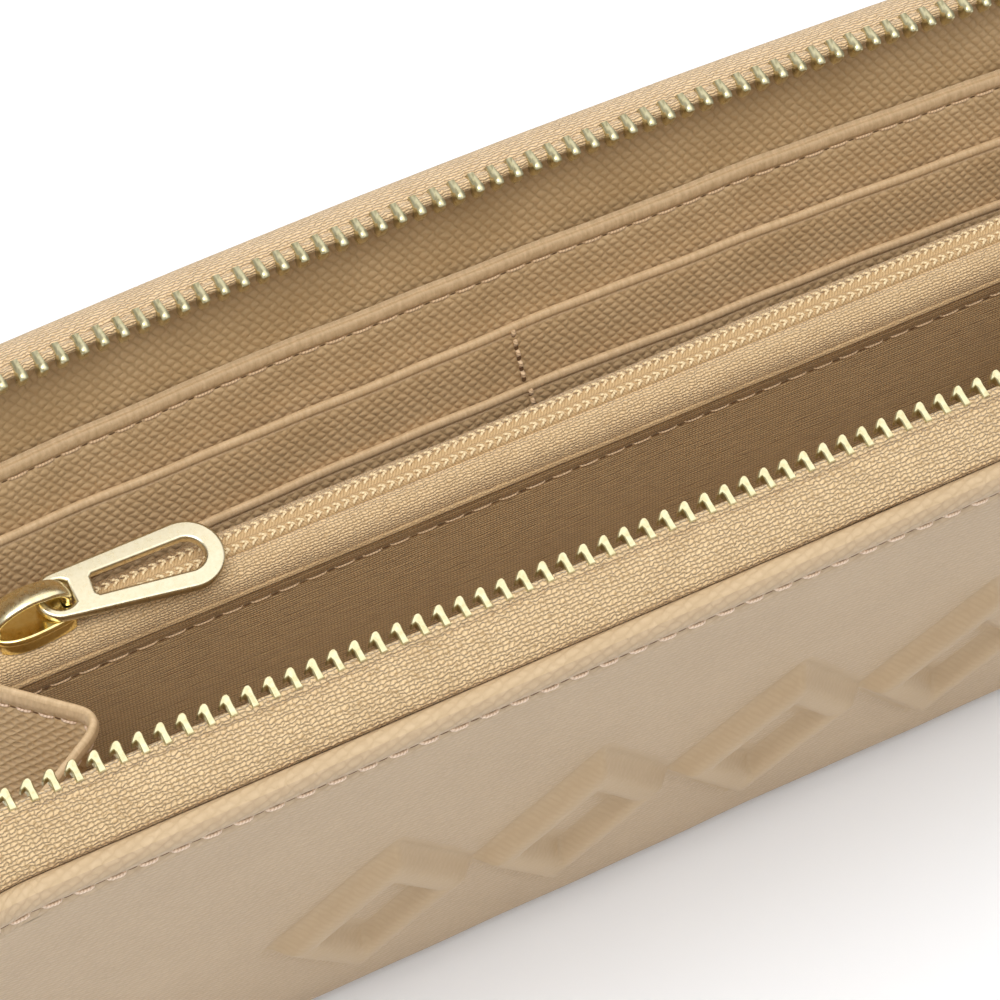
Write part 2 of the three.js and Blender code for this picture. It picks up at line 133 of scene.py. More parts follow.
def open_half(side, x, far, z):
    """Points drawn shut, in their leaned place."""
    x, far, z = np.broadcast_arrays(*(np.asarray(v, float) for v in (x, far, z)))
    cos, sin = math.cos(LEAN[side]), math.sin(LEAN[side])
    out, up = far - FOLD_Y, z - FOLD_Z
    y = FOLD_Y + out * cos + up * sin
    if side == BACK:
        rise = np.clip((z - SPINE_ROUND) / (TOP - SPINE_ROUND), 0, 2)
        y = y + BACK_BOW * (BOW_MIDDLE - (x / END_X) ** 2) * rise
    return np.stack([x, side * y, FOLD_Z - out * sin + up * cos], -1)


def lean_coin(x, y, z):
    """Points of the upright coin pocket, leaned back with it."""
    x, y, z = np.broadcast_arrays(*(np.asarray(v, float) for v in (x, y, z)))
    cos, sin = math.cos(COIN_LEAN), math.sin(COIN_LEAN)
    up = z - COIN_FOOT
    return np.stack([x, y * cos + up * sin, COIN_FOOT - y * sin + up * cos], -1)


def spine_path(side):
    """Flat run, curve length, curve angle and the shut height where the straight face starts."""
    angle = math.pi / 2 - LEAN[side]
    edge = open_half(side, 0, HALF, 0)
    foot = side * edge[1] - edge[2] * math.tan(LEAN[side])
    tangent = SPINE_ROUND * math.tan(angle / 2)
    start = -edge[2] / math.cos(LEAN[side])
    return foot - tangent, SPINE_ROUND * angle, angle, start + tangent


def skin(side, x, t, inset):
    """Points under the cover's outer face: t runs from the spine's middle round and up the face."""
    flat, curve, angle, rise = spine_path(side)
    x, t, inset = np.broadcast_arrays(*(np.asarray(v, float) for v in (x, t, inset)))
    turn = np.clip((t - flat) / SPINE_ROUND, 0, angle)
    around = np.minimum(t, flat) + (SPINE_ROUND - inset) * np.sin(turn)
    height = SPINE_ROUND - (SPINE_ROUND - inset) * np.cos(turn)
    low = np.stack([x, side * around, height], -1)
    high = open_half(side, x, HALF - inset, t - flat - curve + rise)
    return np.where((t < flat + curve)[..., None], low, high)


def skin_t(side, z):
    """The t of a shut height on the straight face."""
    flat, curve, _, rise = spine_path(side)
    return z + flat + curve - rise


def edge_at(distance, foot, top):
    """Point and outward direction along the outline: up the right end, over and down the left."""
    rise = top - CORNER - foot
    arc = CORNER * math.pi / 2
    run = 2 * (END_X - CORNER)
    total = 2 * (rise + arc) + run
    d = np.asarray(distance, float)
    side = np.where(d < total / 2, 1.0, -1.0)
    d = total / 2 - np.abs(d - total / 2)
    turn = np.clip((d - rise) / CORNER, 0, math.pi / 2)
    nx, nt = side * np.cos(turn), np.sin(turn)
    x = side * (END_X - CORNER) + nx * CORNER - side * np.clip(d - rise - arc, 0, None)
    t = foot + np.minimum(d, rise) + CORNER * np.sin(turn)
    return x, t, nx, nt


def edge_length(foot, top):
    return 2 * (top - CORNER - foot) + CORNER * math.pi + 2 * (END_X - CORNER)


def zip_run(side):
    """The t of the zip's two ends and of the cover's top edge, and the zip's length."""
    foot, top = skin_t(side, TAPE_FOOT), skin_t(side, TOP)
    return foot, top, edge_length(foot, top)


def rim_points(side, distance, far, out):
    """Points beside the zip edge: far from the middle plane and out of the cover's outline."""
    foot, top, _ = zip_run(side)
    x, t, nx, nt = edge_at(distance, foot, top)
    return skin(side, x + nx * out, t + nt * out, HALF - np.asarray(far, float))


def wander(x, seed, size, pitch=60.0):
    """A soft, repeatable unevenness along a length."""
    waves = [(1.0, 1.0, 0.7), (0.5, 2.3, 1.9), (0.3, 5.1, 4.2)]
    total = sum(a * np.sin(x * f * 2 * math.pi / pitch + p * (seed + 1.3)) for a, f, p in waves)
    return size * total


def swell(value, centre, width):
    """A smooth rise to 1 at the centre, gone about two widths away."""
    return np.exp(-(((value - centre) / width) ** 2))


def half_width(end, below_top, inset=0.0):
    """Half the width of a rounded rectangle, some way in from its edge, at depths below its top."""
    reach = np.clip(CORNER - below_top, 0, None)
    return end - CORNER + np.sqrt(np.clip((CORNER - inset) ** 2 - reach**2, 0, None))


# ---- Building meshes ----


def smooth_line(points, steps=5):
    """A Catmull-Rom curve through the points."""
    p = np.array(points, float)
    p = np.vstack([2 * p[0] - p[1], p, 2 * p[-1] - p[-2]])
    out = []
    for i in range(1, len(p) - 2):
        for k in range(steps):
            s = k / steps
            a = 2 * p[i] + (p[i + 1] - p[i - 1]) * s
            b = (2 * p[i - 1] - 5 * p[i] + 4 * p[i + 1] - p[i + 2]) * s**2
            c = (3 * p[i] - p[i - 1] - 3 * p[i + 1] + p[i + 2]) * s**3
            out.append((a + b + c) / 2)
    out.append(p[-2])
    return np.array(out)


def along(line):
    """Length run at each point of a line."""
    steps = np.linalg.norm(np.diff(line, axis=0), axis=1)
    return np.concatenate([[0], np.cumsum(steps)])


def ribbon(line, thick):
    """Closed outline of a ribbon along a line, with its far end pointed and its near end square."""
    line = np.array(line, float)
    normal = left_of(line) * thick / 2
    nose = line[-1] + 0.9 * np.array([normal[-1, 1], -normal[-1, 0]])
    outline = np.vstack([line + normal, [nose], (line - normal)[::-1]])
    return np.vstack([outline, outline[:1]])


def arc_points(centre, radius, start, end, count):
    angles = np.radians(np.linspace(start, end, count))
    return [(centre[0] + radius * math.cos(a), centre[1] + radius * math.sin(a)) for a in angles]


class Shape:
    """Collects grids and copies into one mesh, each with its own material and flat coordinates."""

    def __init__(self):
        self.points, self.faces, self.uvs, self.slots = [], [], [], []
        self.count = 0

    def add(self, points, faces, uv, slot=0):
        self.points.append(np.asarray(points, float).reshape(-1, 3))
        self.uvs.append(np.asarray(uv, float).reshape(-1, 2))
        self.faces.extend((np.asarray(faces) + self.count).tolist())
        self.slots.extend(np.broadcast_to(slot, len(faces)).tolist())
        self.count += len(self.points[-1])

    def grid(self, points, u, v, slot=0, flip=False):
        rows, cols = points.shape[:2]
        a = (np.arange(rows - 1)[:, None] * cols + np.arange(cols - 1)).reshape(-1)
        quads = np.stack([a, a + 1, a + cols + 1, a + cols], -1)
        if flip:
            quads = quads[:, ::-1]
        uv = np.stack(np.broadcast_arrays(u, v), -1)
        self.add(points, quads, np.broadcast_to(uv, (rows, cols, 2)), slot)

    def build(self, name, materials, smooth=True):
        mesh = bpy.data.meshes.new(name)
        mesh.from_pydata((np.vstack(self.points) * MM).tolist(), [], self.faces)
        loops = np.zeros(len(mesh.loops), int)
        mesh.loops.foreach_get("vertex_index", loops)
        layer = mesh.uv_layers.new(name="UVMap")
        layer.data.foreach_set("uv", np.vstack(self.uvs)[loops].astype(np.float32).ravel())
        for material in materials:
            mesh.materials.append(material)
        mesh.polygons.foreach_set("material_index", self.slots)
        mesh.polygons.foreach_set("use_smooth", [smooth] * len(mesh.polygons))
        mesh.update()
        piece = bpy.data.objects.new(name, mesh)
        bpy.context.scene.collection.objects.link(piece)
        return piece


UV_STEP = 7.3  # how far apart two copies lie in the flat coordinates


def copies(shape, base, faces, origins, axes, slot=0):
    """Adds a copy of a small mesh at each origin, with axes as (count, 3, 3) rows."""
    base = np.asarray(base, float)
    origins, axes = np.asarray(origins), np.asarray(axes)
    points = origins[:, None, :] + np.einsum("vk,nkj->nvj", base, axes)
    faces = [np.array(f) for f in faces]
    for i, block in enumerate(points):
        shape.points.append(block)
        shape.uvs.append(base[:, :2] + i * UV_STEP)
        shape.faces.extend((f + shape.count).tolist() for f in faces)
        shape.slots.extend([slot] * len(faces))
        shape.count += len(block)


def frames(direction, normal):
    """Right-handed axes (along, across, up) for each pair of directions."""
    x = direction / np.linalg.norm(direction, axis=1)[:, None]
    z = normal - np.sum(normal * x, 1)[:, None] * x
    z /= np.linalg.norm(z, axis=1)[:, None]
    return np.stack([x, np.cross(z, x), z], 1)


def tube_faces(rings, sides):
    """The faces between rings of points that are listed one ring after another."""
    faces = []
    for ring in range(rings - 1):
        for k in range(sides):
            a, b = ring * sides + k, ring * sides + (k + 1) % sides
            faces.append([a, a + sides, b + sides, b])
    return faces


def left_of(line):
    """The unit direction to the left of a flat line at each of its points."""
    step = np.gradient(line, axis=0)
    step /= np.linalg.norm(step, axis=1)[:, None]
    return np.stack([-step[:, 1], step[:, 0]], -1)


def stitch_solid(length, radius):
    """A thread that comes out of one hole, lies on the leather and goes into the next."""
    sides = 8
    places = np.array([-0.5, -0.47, -0.38, -0.2, 0, 0.2, 0.38, 0.47, 0.5])
    girth = np.array([0.35, 0.75, 1, 1.08, 1, 1.08, 1, 0.75, 0.35])
    lift = radius * (0.75 - 2.2 * (2 * np.abs(places)) ** 5)
    angle = np.linspace(0, 2 * math.pi, sides, endpoint=False)
    points = [
        (p * length, g * radius * math.cos(a), h + g * radius * 0.8 * math.sin(a))
        for p, g, h in zip(places, girth, lift)
        for a in angle
    ]
    return np.array(points), tube_faces(len(places), sides)


def hole_shade_disc(length, radius):
    """A dark disc of painted shade over the needle holes and the crease where the thread is under the leather,
    between two stitches.
    """
    angle = np.linspace(0, 2 * math.pi, 10, endpoint=False)
    rim = [(length / 2 * math.cos(a), radius * math.sin(a), 0.01) for a in angle]
    faces = [[10, k, (k + 1) % 10] for k in range(10)]
    return np.array(rim + [(0, 0, 0.05)]), faces


def add_stitches(shape, line, up, seam, slant=0.0):
    """Sews a seam along a line of points, with up as the way off the leather at each of them."""
    run = along(line)
    count = max(int(run[-1] / seam["pitch"]), 1)
    centres = (np.arange(count) + 0.5) * run[-1] / count

    def at_run(values, shift=0.0):
        return np.stack([np.interp(centres + shift, run, values[:, k]) for k in range(3)], -1)

    at = at_run(line)
    axes = frames(at_run(line, SEAM_LOOK) - at_run(line, -SEAM_LOOK), at_run(up))
    # Slot 1 is a dark disc between two stitches: painted shade of the needle holes and the crease.
    base, faces = hole_shade_disc(seam["pitch"] - seam["length"] + 0.1, seam["radius"] * seam["gap"])
    copies(shape, base, faces, at + axes[:, 0] * seam["pitch"] / 2, axes, slot=1)
    axes = frames(axes[:, 0] + slant * axes[:, 1], axes[:, 2])
    base, faces = stitch_solid(seam["length"], seam["radius"])
    copies(shape, base, faces, at, axes)


def place(piece, body, slot, *nodes):
    """The piece rides a body and stands for its CAD nodes, which it hides; its slot is not used."""
    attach(piece, body)
    if nodes:
        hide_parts(*nodes)
    return piece


# ---- Materials ----


class Graph:
    """A small helper for building one material's nodes."""

    def __init__(self, name):
        self.material = bpy.data.materials.new(name)
        self.material.use_nodes = True
        self.tree = self.material.node_tree
        self.surface = self.tree.nodes["Principled BSDF"]

    def node(self, kind, settings=None, **inputs):
        made = self.tree.nodes.new("ShaderNode" + kind)
        for key, value in (settings or {}).items():
            setattr(made, key, value)
        for key, value in inputs.items():
            self.put(made.inputs[key], value)
        return made

    def put(self, socket, value):
        if hasattr(value, "is_output"):
            self.tree.links.new(value, socket)
        else:
            socket.default_value = value

    def math(self, operation, a, b=0.0, c=0.0):
        made = self.node("Math", {"operation": operation})
        for socket, value in zip(made.inputs, (a, b, c)):
            self.put(socket, value)
        return made.outputs[0]

    def flat(self, turn=0.0, stretch=(1, 1, 1)):
        """The piece's own flat coordinates, in millimetres along and across."""
        source = self.node("UVMap", {"uv_map": "UVMap"}).outputs["UV"]
        made = self.node("Mapping", Vector=source, Rotation=(0, 0, math.radians(turn)), Scale=stretch)
        return made.outputs["Vector"]

    def solid(self):
        """Object coordinates in millimetres."""
        source = self.node("TexCoord").outputs["Object"]
        made = self.node("Mapping", Vector=source, Scale=(1 / MM, 1 / MM, 1 / MM))
        return made.outputs["Vector"]

    def split(self, vector):
        made = self.node("SeparateXYZ", Vector=vector)
        return made.outputs[0], made.outputs[1]

    def noise(self, vector, scale, detail=2.0, rough=0.5):
        made = self.node("TexNoise", Vector=vector, Scale=scale, Detail=detail, Roughness=rough)
        return made.outputs["Fac"]

    def ridges(self, value, pitch, power=1.0):
        """Raised bands with a groove at every pitch, from 0 to 1."""
        turned = self.math("SINE", self.math("MULTIPLY", value, math.pi / pitch))
        return self.math("POWER", self.math("ABSOLUTE", turned), power)

    def mix(self, factor, low, high):
        """A blend of two colours by a value from 0 to 1."""
        made = self.node("Mix", {"data_type": "RGBA"})
        self.put(made.inputs["Factor"], factor)
        self.put(made.inputs[6], low)
        self.put(made.inputs[7], high)
        return made.outputs[2]

    def span(self, value, low, high, to_low, to_high):
        """The value moved from one range to another and held inside it."""
        made = self.node("MapRange", Value=value)
        for key, number in zip(("From Min", "From Max", "To Min", "To Max"), (low, high, to_low, to_high)):
            made.inputs[key].default_value = number
        return made.outputs["Result"]

    def bump(self, height, distance, strength=1.0):
        """Relief of a height from 0 to 1, with its depth in millimetres."""
        made = self.node("Bump", Height=height, Distance=distance * MM, Strength=strength)
        return made.outputs["Normal"]

    def finish(self, colour, roughness, normal=None, **extra):
        self.put(self.surface.inputs["Base Color"], colour)
        self.put(self.surface.inputs["Roughness"], roughness)
        if normal is not None:
            self.put(self.surface.inputs["Normal"], normal)
        for key, value in extra.items():
            self.put(self.surface.inputs[key.replace("_", " ")], value)
        return self.material


def tone(red, green, blue):
    """A colour from its screen values, 0 to 255."""
    return (*((c / 255) ** 2.2 for c in (red, green, blue)), 1.0)


def hatched_leather(name, dark, light, grain, contrast=0.45, depth=0.08):
    """Cover leather: long slanting ripples, crossed by a looser set, over a softly clouded tan."""
    g = Graph(name)
    flat = g.flat()
    cloud = g.noise(flat, 0.06, 3)
    warp = g.math("MULTIPLY", g.math("SUBTRACT", g.noise(flat, 0.8, 2), 0.5), 0.8)
    ripple = g.ridges(g.math("ADD", g.split(g.flat(turn=17))[1], warp), 0.88, 0.8)
    askew = g.math("MULTIPLY_ADD", warp, -2.5, g.split(g.flat(turn=-62))[1])
    cross = g.ridges(askew, 1.35, 0.7)
    breaks = g.noise(g.flat(turn=17, stretch=(0.3, 1.6, 1)), 0.9, 2)
    cells = g.math("MULTIPLY", ripple, g.math("MULTIPLY_ADD", cross, 0.8, 0.2))
    cells = g.math("MULTIPLY", cells, g.span(breaks, 0.3, 0.7, 0.5, 1.0))
    pores = g.noise(flat, 5.5, 3, 0.6)
    height = g.math("ADD", g.math("MULTIPLY", cells, 0.9), g.math("MULTIPLY", pores, 0.3))
    shade = g.mix(cloud, dark, light)
    shade = g.mix(g.span(cells, 0, 0.9, 0.0, contrast), shade, grain)
    rough = g.span(pores, 0.3, 0.7, 0.46, 0.6)
    return g.finish(shade, rough, g.bump(height, depth), Specular_IOR_Level=0.35)


def saffiano(name, dark, light, wide, tall, turn, depth):
    """Cross-hatched leather: small raised lozenges with fine grooves between."""
    g = Graph(name)
    flat = g.flat()
    warp = g.math("MULTIPLY", g.math("SUBTRACT", g.noise(flat, 0.6, 2), 0.5), 0.7)
    first = g.split(g.flat(turn=turn))[1]
    second = g.split(g.flat(turn=turn - 82))[1]
    grain = g.ridges(g.math("ADD", first, warp), wide, 1.1)
    cross = g.ridges(g.math("SUBTRACT", second, warp), tall, 1.1)
    cells = g.math("MULTIPLY", grain, g.math("MULTIPLY_ADD", cross, 0.8, 0.2))
    fine = g.noise(flat, 7.0, 3, 0.6)
    cloud = g.noise(flat, 0.09, 3)
    height = g.math("MULTIPLY_ADD", fine, 0.25, cells)
    shade = g.mix(cloud, dark, light)
    grooved = g.mix(g.span(cells, 0.0, 0.55, 0.25, 1.0), dark, shade)
    rough = g.span(fine, 0.3, 0.7, 0.48, 0.62)
    return g.finish(grooved, rough, g.bump(height, depth), Specular_IOR_Level=0.3)


def woven(name, dark, light, row, dash, depth, twill=0.0):
    """Tape cloth: rows of small rice-grain threads, stepping at random or evenly as a twill."""
    g = Graph(name)
    u, v = g.split(g.flat())
    wobble = g.math("MULTIPLY", g.math("SUBTRACT", g.noise(g.flat(), 1.5, 2), 0.5), 1.7 * row)
    rows = g.math("DIVIDE", g.math("ADD", v, wobble), row)
    index = g.math("FLOOR", rows)
    if twill:
        step = g.math("MULTIPLY", index, twill)
    else:
        step = g.node("TexWhiteNoise", {"noise_dimensions": "1D"}, W=index).outputs["Value"]
    grain_u = g.math("ADD", g.math("MULTIPLY", step, dash), u)
    grains = g.ridges(g.math("MULTIPLY_ADD", wobble, 1.6, grain_u), dash, 0.6)
    threads = g.ridges(rows, 1.0, 0.6)
    cells = g.math("MULTIPLY", threads, g.math("MULTIPLY_ADD", grains, 0.7, 0.3))
    fuzz = g.noise(g.flat(), 9.0, 3, 0.7)
    height = g.math("MULTIPLY_ADD", fuzz, 0.3, cells)
    cloud = g.noise(g.flat(), 0.25, 2)
    base = g.mix(g.span(cells, 0.05, 0.8, 0, 1), dark, light)
    base = g.mix(g.span(cloud, 0.3, 0.7, 0, 0.22), base, dark)
    return g.finish(base, g.span(fuzz, 0.3, 0.7, 0.72, 0.92), g.bump(height, depth), Sheen_Weight=0.25)


def ribbed_cloth():
    """Dark lining cloth with fine ribs along it and small checks."""
    g = Graph("lining_cloth")
    u, v = g.split(g.flat())
    wobble = g.math("MULTIPLY", g.noise(g.flat(stretch=(0.15, 1.2, 1)), 1.4, 3), 0.5)
    ribs = g.ridges(g.math("ADD", v, wobble), 0.36, 0.8)
    slubs = g.noise(g.flat(stretch=(0.5, 3.2, 1)), 1.2, 3, 0.7)
    checks = g.ridges(g.math("ADD", u, wobble), 0.42, 0.8)
    cells = g.math("MULTIPLY", ribs, g.math("MULTIPLY_ADD", checks, 0.55, 0.45))
    height = g.math("MULTIPLY_ADD", slubs, 0.7, cells)
    shade = g.mix(g.span(cells, 0.1, 0.85, 0, 1), LINING_DARK, LINING_LIGHT)
    shade = g.mix(g.span(slubs, 0.35, 0.7, 0, 0.35), shade, LINING_SLUB)
    return g.finish(shade, g.span(slubs, 0.3, 0.7, 0.55, 0.75), g.bump(height, 0.12), Sheen_Weight=0.15)


def metal(name, colour, bright, low_rough, high_rough, wear=0.02):
    """Plated metal with fine brush lines and small handling marks."""
    g = Graph(name)
    solid = g.solid()
    marks = g.noise(solid, 1.6, 4, 0.6)
    fine = g.noise(solid, 14.0, 3, 0.6)
    shade = g.mix(g.span(marks, 0.35, 0.68, 0, 1), colour, bright)
    rough = g.span(g.math("MULTIPLY_ADD", fine, 0.35, marks), 0.4, 0.95, low_rough, high_rough)
    return g.finish(shade, rough, g.bump(fine, wear, 0.6), Metallic=1.0)


def thread(name, dark, light):
    """Twisted two-ply sewing thread."""
    g = Graph(name)
    lay = g.split(g.flat(turn=32))[0]
    twist = g.ridges(lay, 0.34, 0.8)
    fuzz = g.noise(g.solid(), 6.0, 2)
    shade = g.mix(g.span(g.math("MULTIPLY_ADD", fuzz, 0.4, twist), 0.2, 1.2, 0, 1), dark, light)
    return g.finish(shade, g.span(fuzz, 0.3, 0.7, 0.5, 0.7), g.bump(twist, 0.05), Sheen_Weight=0.2)


def needle_hole():
    """The shadowed hole and crease at a stitch's end."""
    g = Graph("needle_hole")
    grain = g.noise(g.solid(), 5.0, 2)
    return g.finish(g.mix(grain, tone(92, 66, 42), tone(120, 90, 60)), g.span(grain, 0, 1, 0.8, 0.95))


def board_fibre():
    """Pressed fibre board."""
    g = Graph("stiffener")
    fibre = g.noise(g.solid(), 2.2, 5, 0.7)
    shade = g.mix(fibre, tone(150, 134, 108), tone(196, 184, 160))
    return g.finish(shade, g.span(fibre, 0.2, 0.8, 0.8, 0.95), g.bump(fibre, 0.08))


def edge_leather():
    """Smooth turned-over leather at the pockets' edges."""
    g = Graph("edge_leather")
    flat = g.flat()
    pores = g.noise(flat, 4.0, 4, 0.6)
    creases = g.noise(g.flat(stretch=(1.6, 0.4, 1)), 1.2, 3, 0.6)
    shade = g.mix(g.span(creases, 0.3, 0.7, 0, 1), tone(190, 160, 120), tone(214, 184, 144))
    height = g.math("MULTIPLY_ADD", pores, 0.5, creases)
    return g.finish(shade, g.span(pores, 0.3, 0.7, 0.48, 0.62), g.bump(height, 0.09))


def solid_leather():
    """Leather for small cut pieces without flat coordinates."""
    g = Graph("trim_leather")
    pores = g.noise(g.solid(), 2.6, 4, 0.6)
    cloud = g.noise(g.solid(), 0.12, 2)
    shade = g.mix(cloud, COVER_DARK, COVER_LIGHT)
    return g.finish(shade, g.span(pores, 0.3, 0.7, 0.5, 0.65), g.bump(pores, 0.08))


def solid_cloth():
    """Lining cloth for small pieces without flat coordinates."""
    g = Graph("trim_cloth")
    ribs = g.ridges(g.split(g.solid())[1], 0.34, 0.8)
    slub = g.noise(g.solid(), 2.0, 3)
    shade = g.mix(g.math("MULTIPLY", ribs, slub), LINING_DARK, LINING_LIGHT)
    return g.finish(shade, g.span(slub, 0.2, 0.8, 0.6, 0.8), g.bump(ribs, 0.05))


COVER_DARK = tone(168, 143, 113)
COVER_LIGHT = tone(183, 158, 127)
COVER_GRAIN = tone(210, 185, 152)
LINING_DARK = tone(128, 99, 62)
LINING_LIGHT = tone(200, 166, 118)
LINING_SLUB = tone(214, 182, 136)

COVER = hatched_leather("cover_leather", COVER_DARK, COVER_LIGHT, COVER_GRAIN)
# A lighter, warmer copy of the cover leather: painted light on the top of the rolled rim, where the rounded edge
# catches the lamps.
COVER_ROLL_PAINTED_LIGHT = hatched_leather("cover_rim", tone(176, 150, 116), tone(192, 166, 130), tone(214, 188, 152))
PRESSED = (tone(172, 146, 113), tone(186, 160, 126), tone(200, 174, 140), 0.25, 0.02)
COVER_PRESSED = hatched_leather("cover_pressed", *PRESSED)
POCKET = saffiano("pocket_leather", tone(180, 150, 110), tone(222, 191, 148), 1.04, 1.1, 54, 0.15)
LINER = saffiano("lining_leather", tone(178, 147, 105), tone(222, 190, 145), 1.08, 1.14, 54, 0.16)
FRONT_TAPE = woven("zip_tape_front", tone(170, 135, 88), tone(236, 204, 156), 0.44, 0.7, 0.26)
BACK_TAPE = woven("zip_tape_back", tone(178, 144, 102), tone(240, 208, 164), 0.32, 1.35, 0.22, 0.36)
COIN_TAPE = woven("coin_tape", tone(176, 141, 95), tone(242, 209, 160), 0.36, 0.5, 0.2)
EDGE = edge_leather()
CLOTH = ribbed_cloth()
GOLD = metal("polished_gold", tone(242, 216, 140), tone(252, 234, 170), 0.1, 0.22, 0.006)
CHAMPAGNE = metal("satin_champagne", tone(214, 202, 170), tone(226, 216, 188), 0.24, 0.36, 0.003)
BRIDGE = metal("brushed_gold", tone(228, 212, 166), tone(240, 228, 192), 0.22, 0.34, 0.003)
TEETH = metal("zip_teeth", tone(204, 194, 150), tone(226, 218, 180), 0.24, 0.38, 0.003)
THREAD_LIGHT = thread("thread_light", tone(206, 172, 140), tone(240, 214, 188))
THREAD_TAN = thread("thread_tan", tone(182, 150, 112), tone(226, 194, 154))
PIPING = woven("coin_piping", tone(158, 126, 84), tone(204, 172, 126), 0.3, 0.4, 0.1)
COIL = thread("zip_coil", tone(178, 145, 100), tone(204, 172, 126))
COIL_THREAD = thread("coil_thread", tone(222, 192, 144), tone(246, 224, 180))
# Dark colour for the discs between stitches: painted shade of the needle holes and creases.
HOLE_SHADE = needle_hole()
BOARD = board_fibre()
TRIM = solid_leather()
TRIM_CLOTH = solid_cloth()


# ---- Camera, light and floor ----


def put_facing(name, data, spot, back):
    """Adds a camera or light at a spot in millimetres, with its back turned along a direction."""
    thing = bpy.data.objects.new(name, data)
    thing.location = spot * MM
    thing.rotation_mode = "QUATERNION"
    thing.rotation_quaternion = back.to_track_quat("Z", "Y")
    bpy.context.scene.collection.objects.link(thing)
    return thing


def make_camera():
    """Looks down along the wallet from over its front left."""
    azimuth, elevation = math.radians(-28.74), math.radians(49.2)
    target, distance, lens = Vector((-38.2, -51.3, 135.3)), 395.0, 148.4
    level = math.cos(elevation)
    back = Vector((math.sin(azimuth) * level, -math.cos(azimuth) * level, math.sin(elevation)))
    data = bpy.data.cameras.new("camera")
    data.lens = lens
    data.sensor_width = 36.0
    data.clip_start, data.clip_end = 0.01, 20.0
    bpy.context.scene.camera = put_facing("camera", data, target + back * distance, back)


LIGHT_AIM = Vector((0, 0, 60))
FLOOR_REACH = 4000.0


def area_light(name, spot, size, power):
    """A large round light over the wallet, turned to its middle."""
    data = bpy.data.lights.new(name, "AREA")
    data.shape = "DISK"
    data.size = size * MM
    data.energy = power
    put_facing(name, data, Vector(spot), Vector(spot) - LIGHT_AIM)


def make_stage():
    """A plain pale floor under soft studio light."""
    g = Graph("floor")
    grain = g.noise(g.solid(), 0.02, 2)
    pale, paler = (0.9, 0.925, 0.965, 1), (0.92, 0.945, 0.98, 1)
    g.finish(g.mix(grain, pale, paler), 0.9, Emission_Color=(1, 1, 1, 1), Emission_Strength=0.03)
    floor = Shape()
    side = np.linspace(-FLOOR_REACH, FLOOR_REACH, 3)
    x, y = np.meshgrid(side, side)
    floor.grid(np.stack([x, y, 0 * x], -1), x, y)
    piece = floor.build("floor", [g.material])
    world = bpy.data.worlds.new("studio")
    world.use_nodes = True
    shade = world.node_tree.nodes["Background"]
    shade.inputs["Color"].default_value = (1, 1, 1, 1)
    shade.inputs["Strength"].default_value = 0.5
    bpy.context.scene.world = world
    bpy.context.scene.view_settings.view_transform = "Standard"
    area_light("key", (-360, -330, 950), 700, 5.4)
    area_light("top", (250, -200, 1000), 1500, 6.0)
    area_light("back", (430, 870, 860), 1100, 1.8)


# ---- Cover leather ----

GROOVE = 0.26
FACE_IN = 4.6  # where the rim's strip hands over to the face
EMBOSS = {"count": 4, "pitch": 27.0, "width": 25.0, "height": 40.0, "z": 38.5, "stroke": 5.4}
RAISE = 1.9
SHOULDER = 1.5
PRESSED_MIDDLE = 2.6  # the pressed leather's band, from a lozenge's outline inwards
PRESSED_REACH = 4.6


def lozenge_depth(x, z):
    """How deep a point is inside the nearest lozenge outline, in millimetres; negative outside."""
    first = -(EMBOSS["count"] - 1) / 2 * EMBOSS["pitch"]
    index = np.clip(np.round((x - first) / EMBOSS["pitch"]), 0, EMBOSS["count"] - 1)
    across, up = np.abs(x - first - index * EMBOSS["pitch"]), np.abs(z - EMBOSS["z"])
    half_w, half_h = EMBOSS["width"] / 2, EMBOSS["height"] / 2
    slope = math.hypot(half_w, half_h)
    return (half_w * half_h - across * half_h - up * half_w) / slope


def emboss_height(x, z):
    """Raised strokes with rounded tops, soft shoulders and a crease on both sides."""
    depth = lozenge_depth(x, z)
    stroke = EMBOSS["stroke"] * EMBOSS["height"] / math.hypot(EMBOSS["width"], EMBOSS["height"])
    middle = np.abs(depth - stroke / 2)
    rise = 1 / (1 + np.exp((middle - stroke / 2) * 4 / SHOULDER))
    crown = 0.25 * np.clip(1 - (middle / (stroke / 2)) ** 2, 0, 1)
    crease = -0.3 * swell(middle - stroke / 2, 1.3, 0.6)
    return RAISE * rise + crown + crease


def face_puff(depth_in):
    """The cover's height by distance in from its edge: roll, sewn groove, pillow."""
    groove = -GROOVE * swell(depth_in, STITCH_IN, 0.42)
    roll = 0.16 * swell(depth_in, 1.7, 0.75)
    pillow = 0.22 * np.clip((depth_in - STITCH_IN) / 1.4, 0, 1)
    pillow = pillow * np.exp(-np.clip(depth_in - 6, 0, None) / 9)
    return groove + roll + pillow


def cover_relief(side, x, t, depth_in):
    """Height over the plain cover: the sewn edge and the leather's softness, none on the spine."""
    soft = wander(x + 0.6 * t, 3 + side, 0.1, 90) * np.clip((depth_in - 1.5) / 6, 0, 1)
    return (face_puff(depth_in) + soft) * np.clip(t / 12, 0, 1)


def cover_face(shape, side):
    """The cover from the spine's middle to the rim strip."""
    top = skin_t(side, TOP)
    t = np.concatenate([np.linspace(0, 22, 34), np.linspace(22.6, top - FACE_IN, 125)])
    across = np.linspace(-1, 1, 321)
    width = half_width(END_X, top - t)
    x = across[None, :] * half_width(END_X, top - t, FACE_IN)[:, None]
    t = np.repeat(t[:, None], len(across), 1)
    edge = np.minimum(width[:, None] - np.abs(x), top - t)
    z = t - skin_t(side, 0)
    height = cover_relief(side, x, t, edge)
    slot = 0
    if side == FRONT:
        height = height + emboss_height(x, z)
        pressed = np.abs(lozenge_depth(x, z) - PRESSED_MIDDLE) < PRESSED_REACH
        slot = np.where(pressed[:-1, :-1].ravel(), 2, 0)
    shape.grid(skin(side, x, t, -height), x, t, slot=slot, flip=side == BACK)


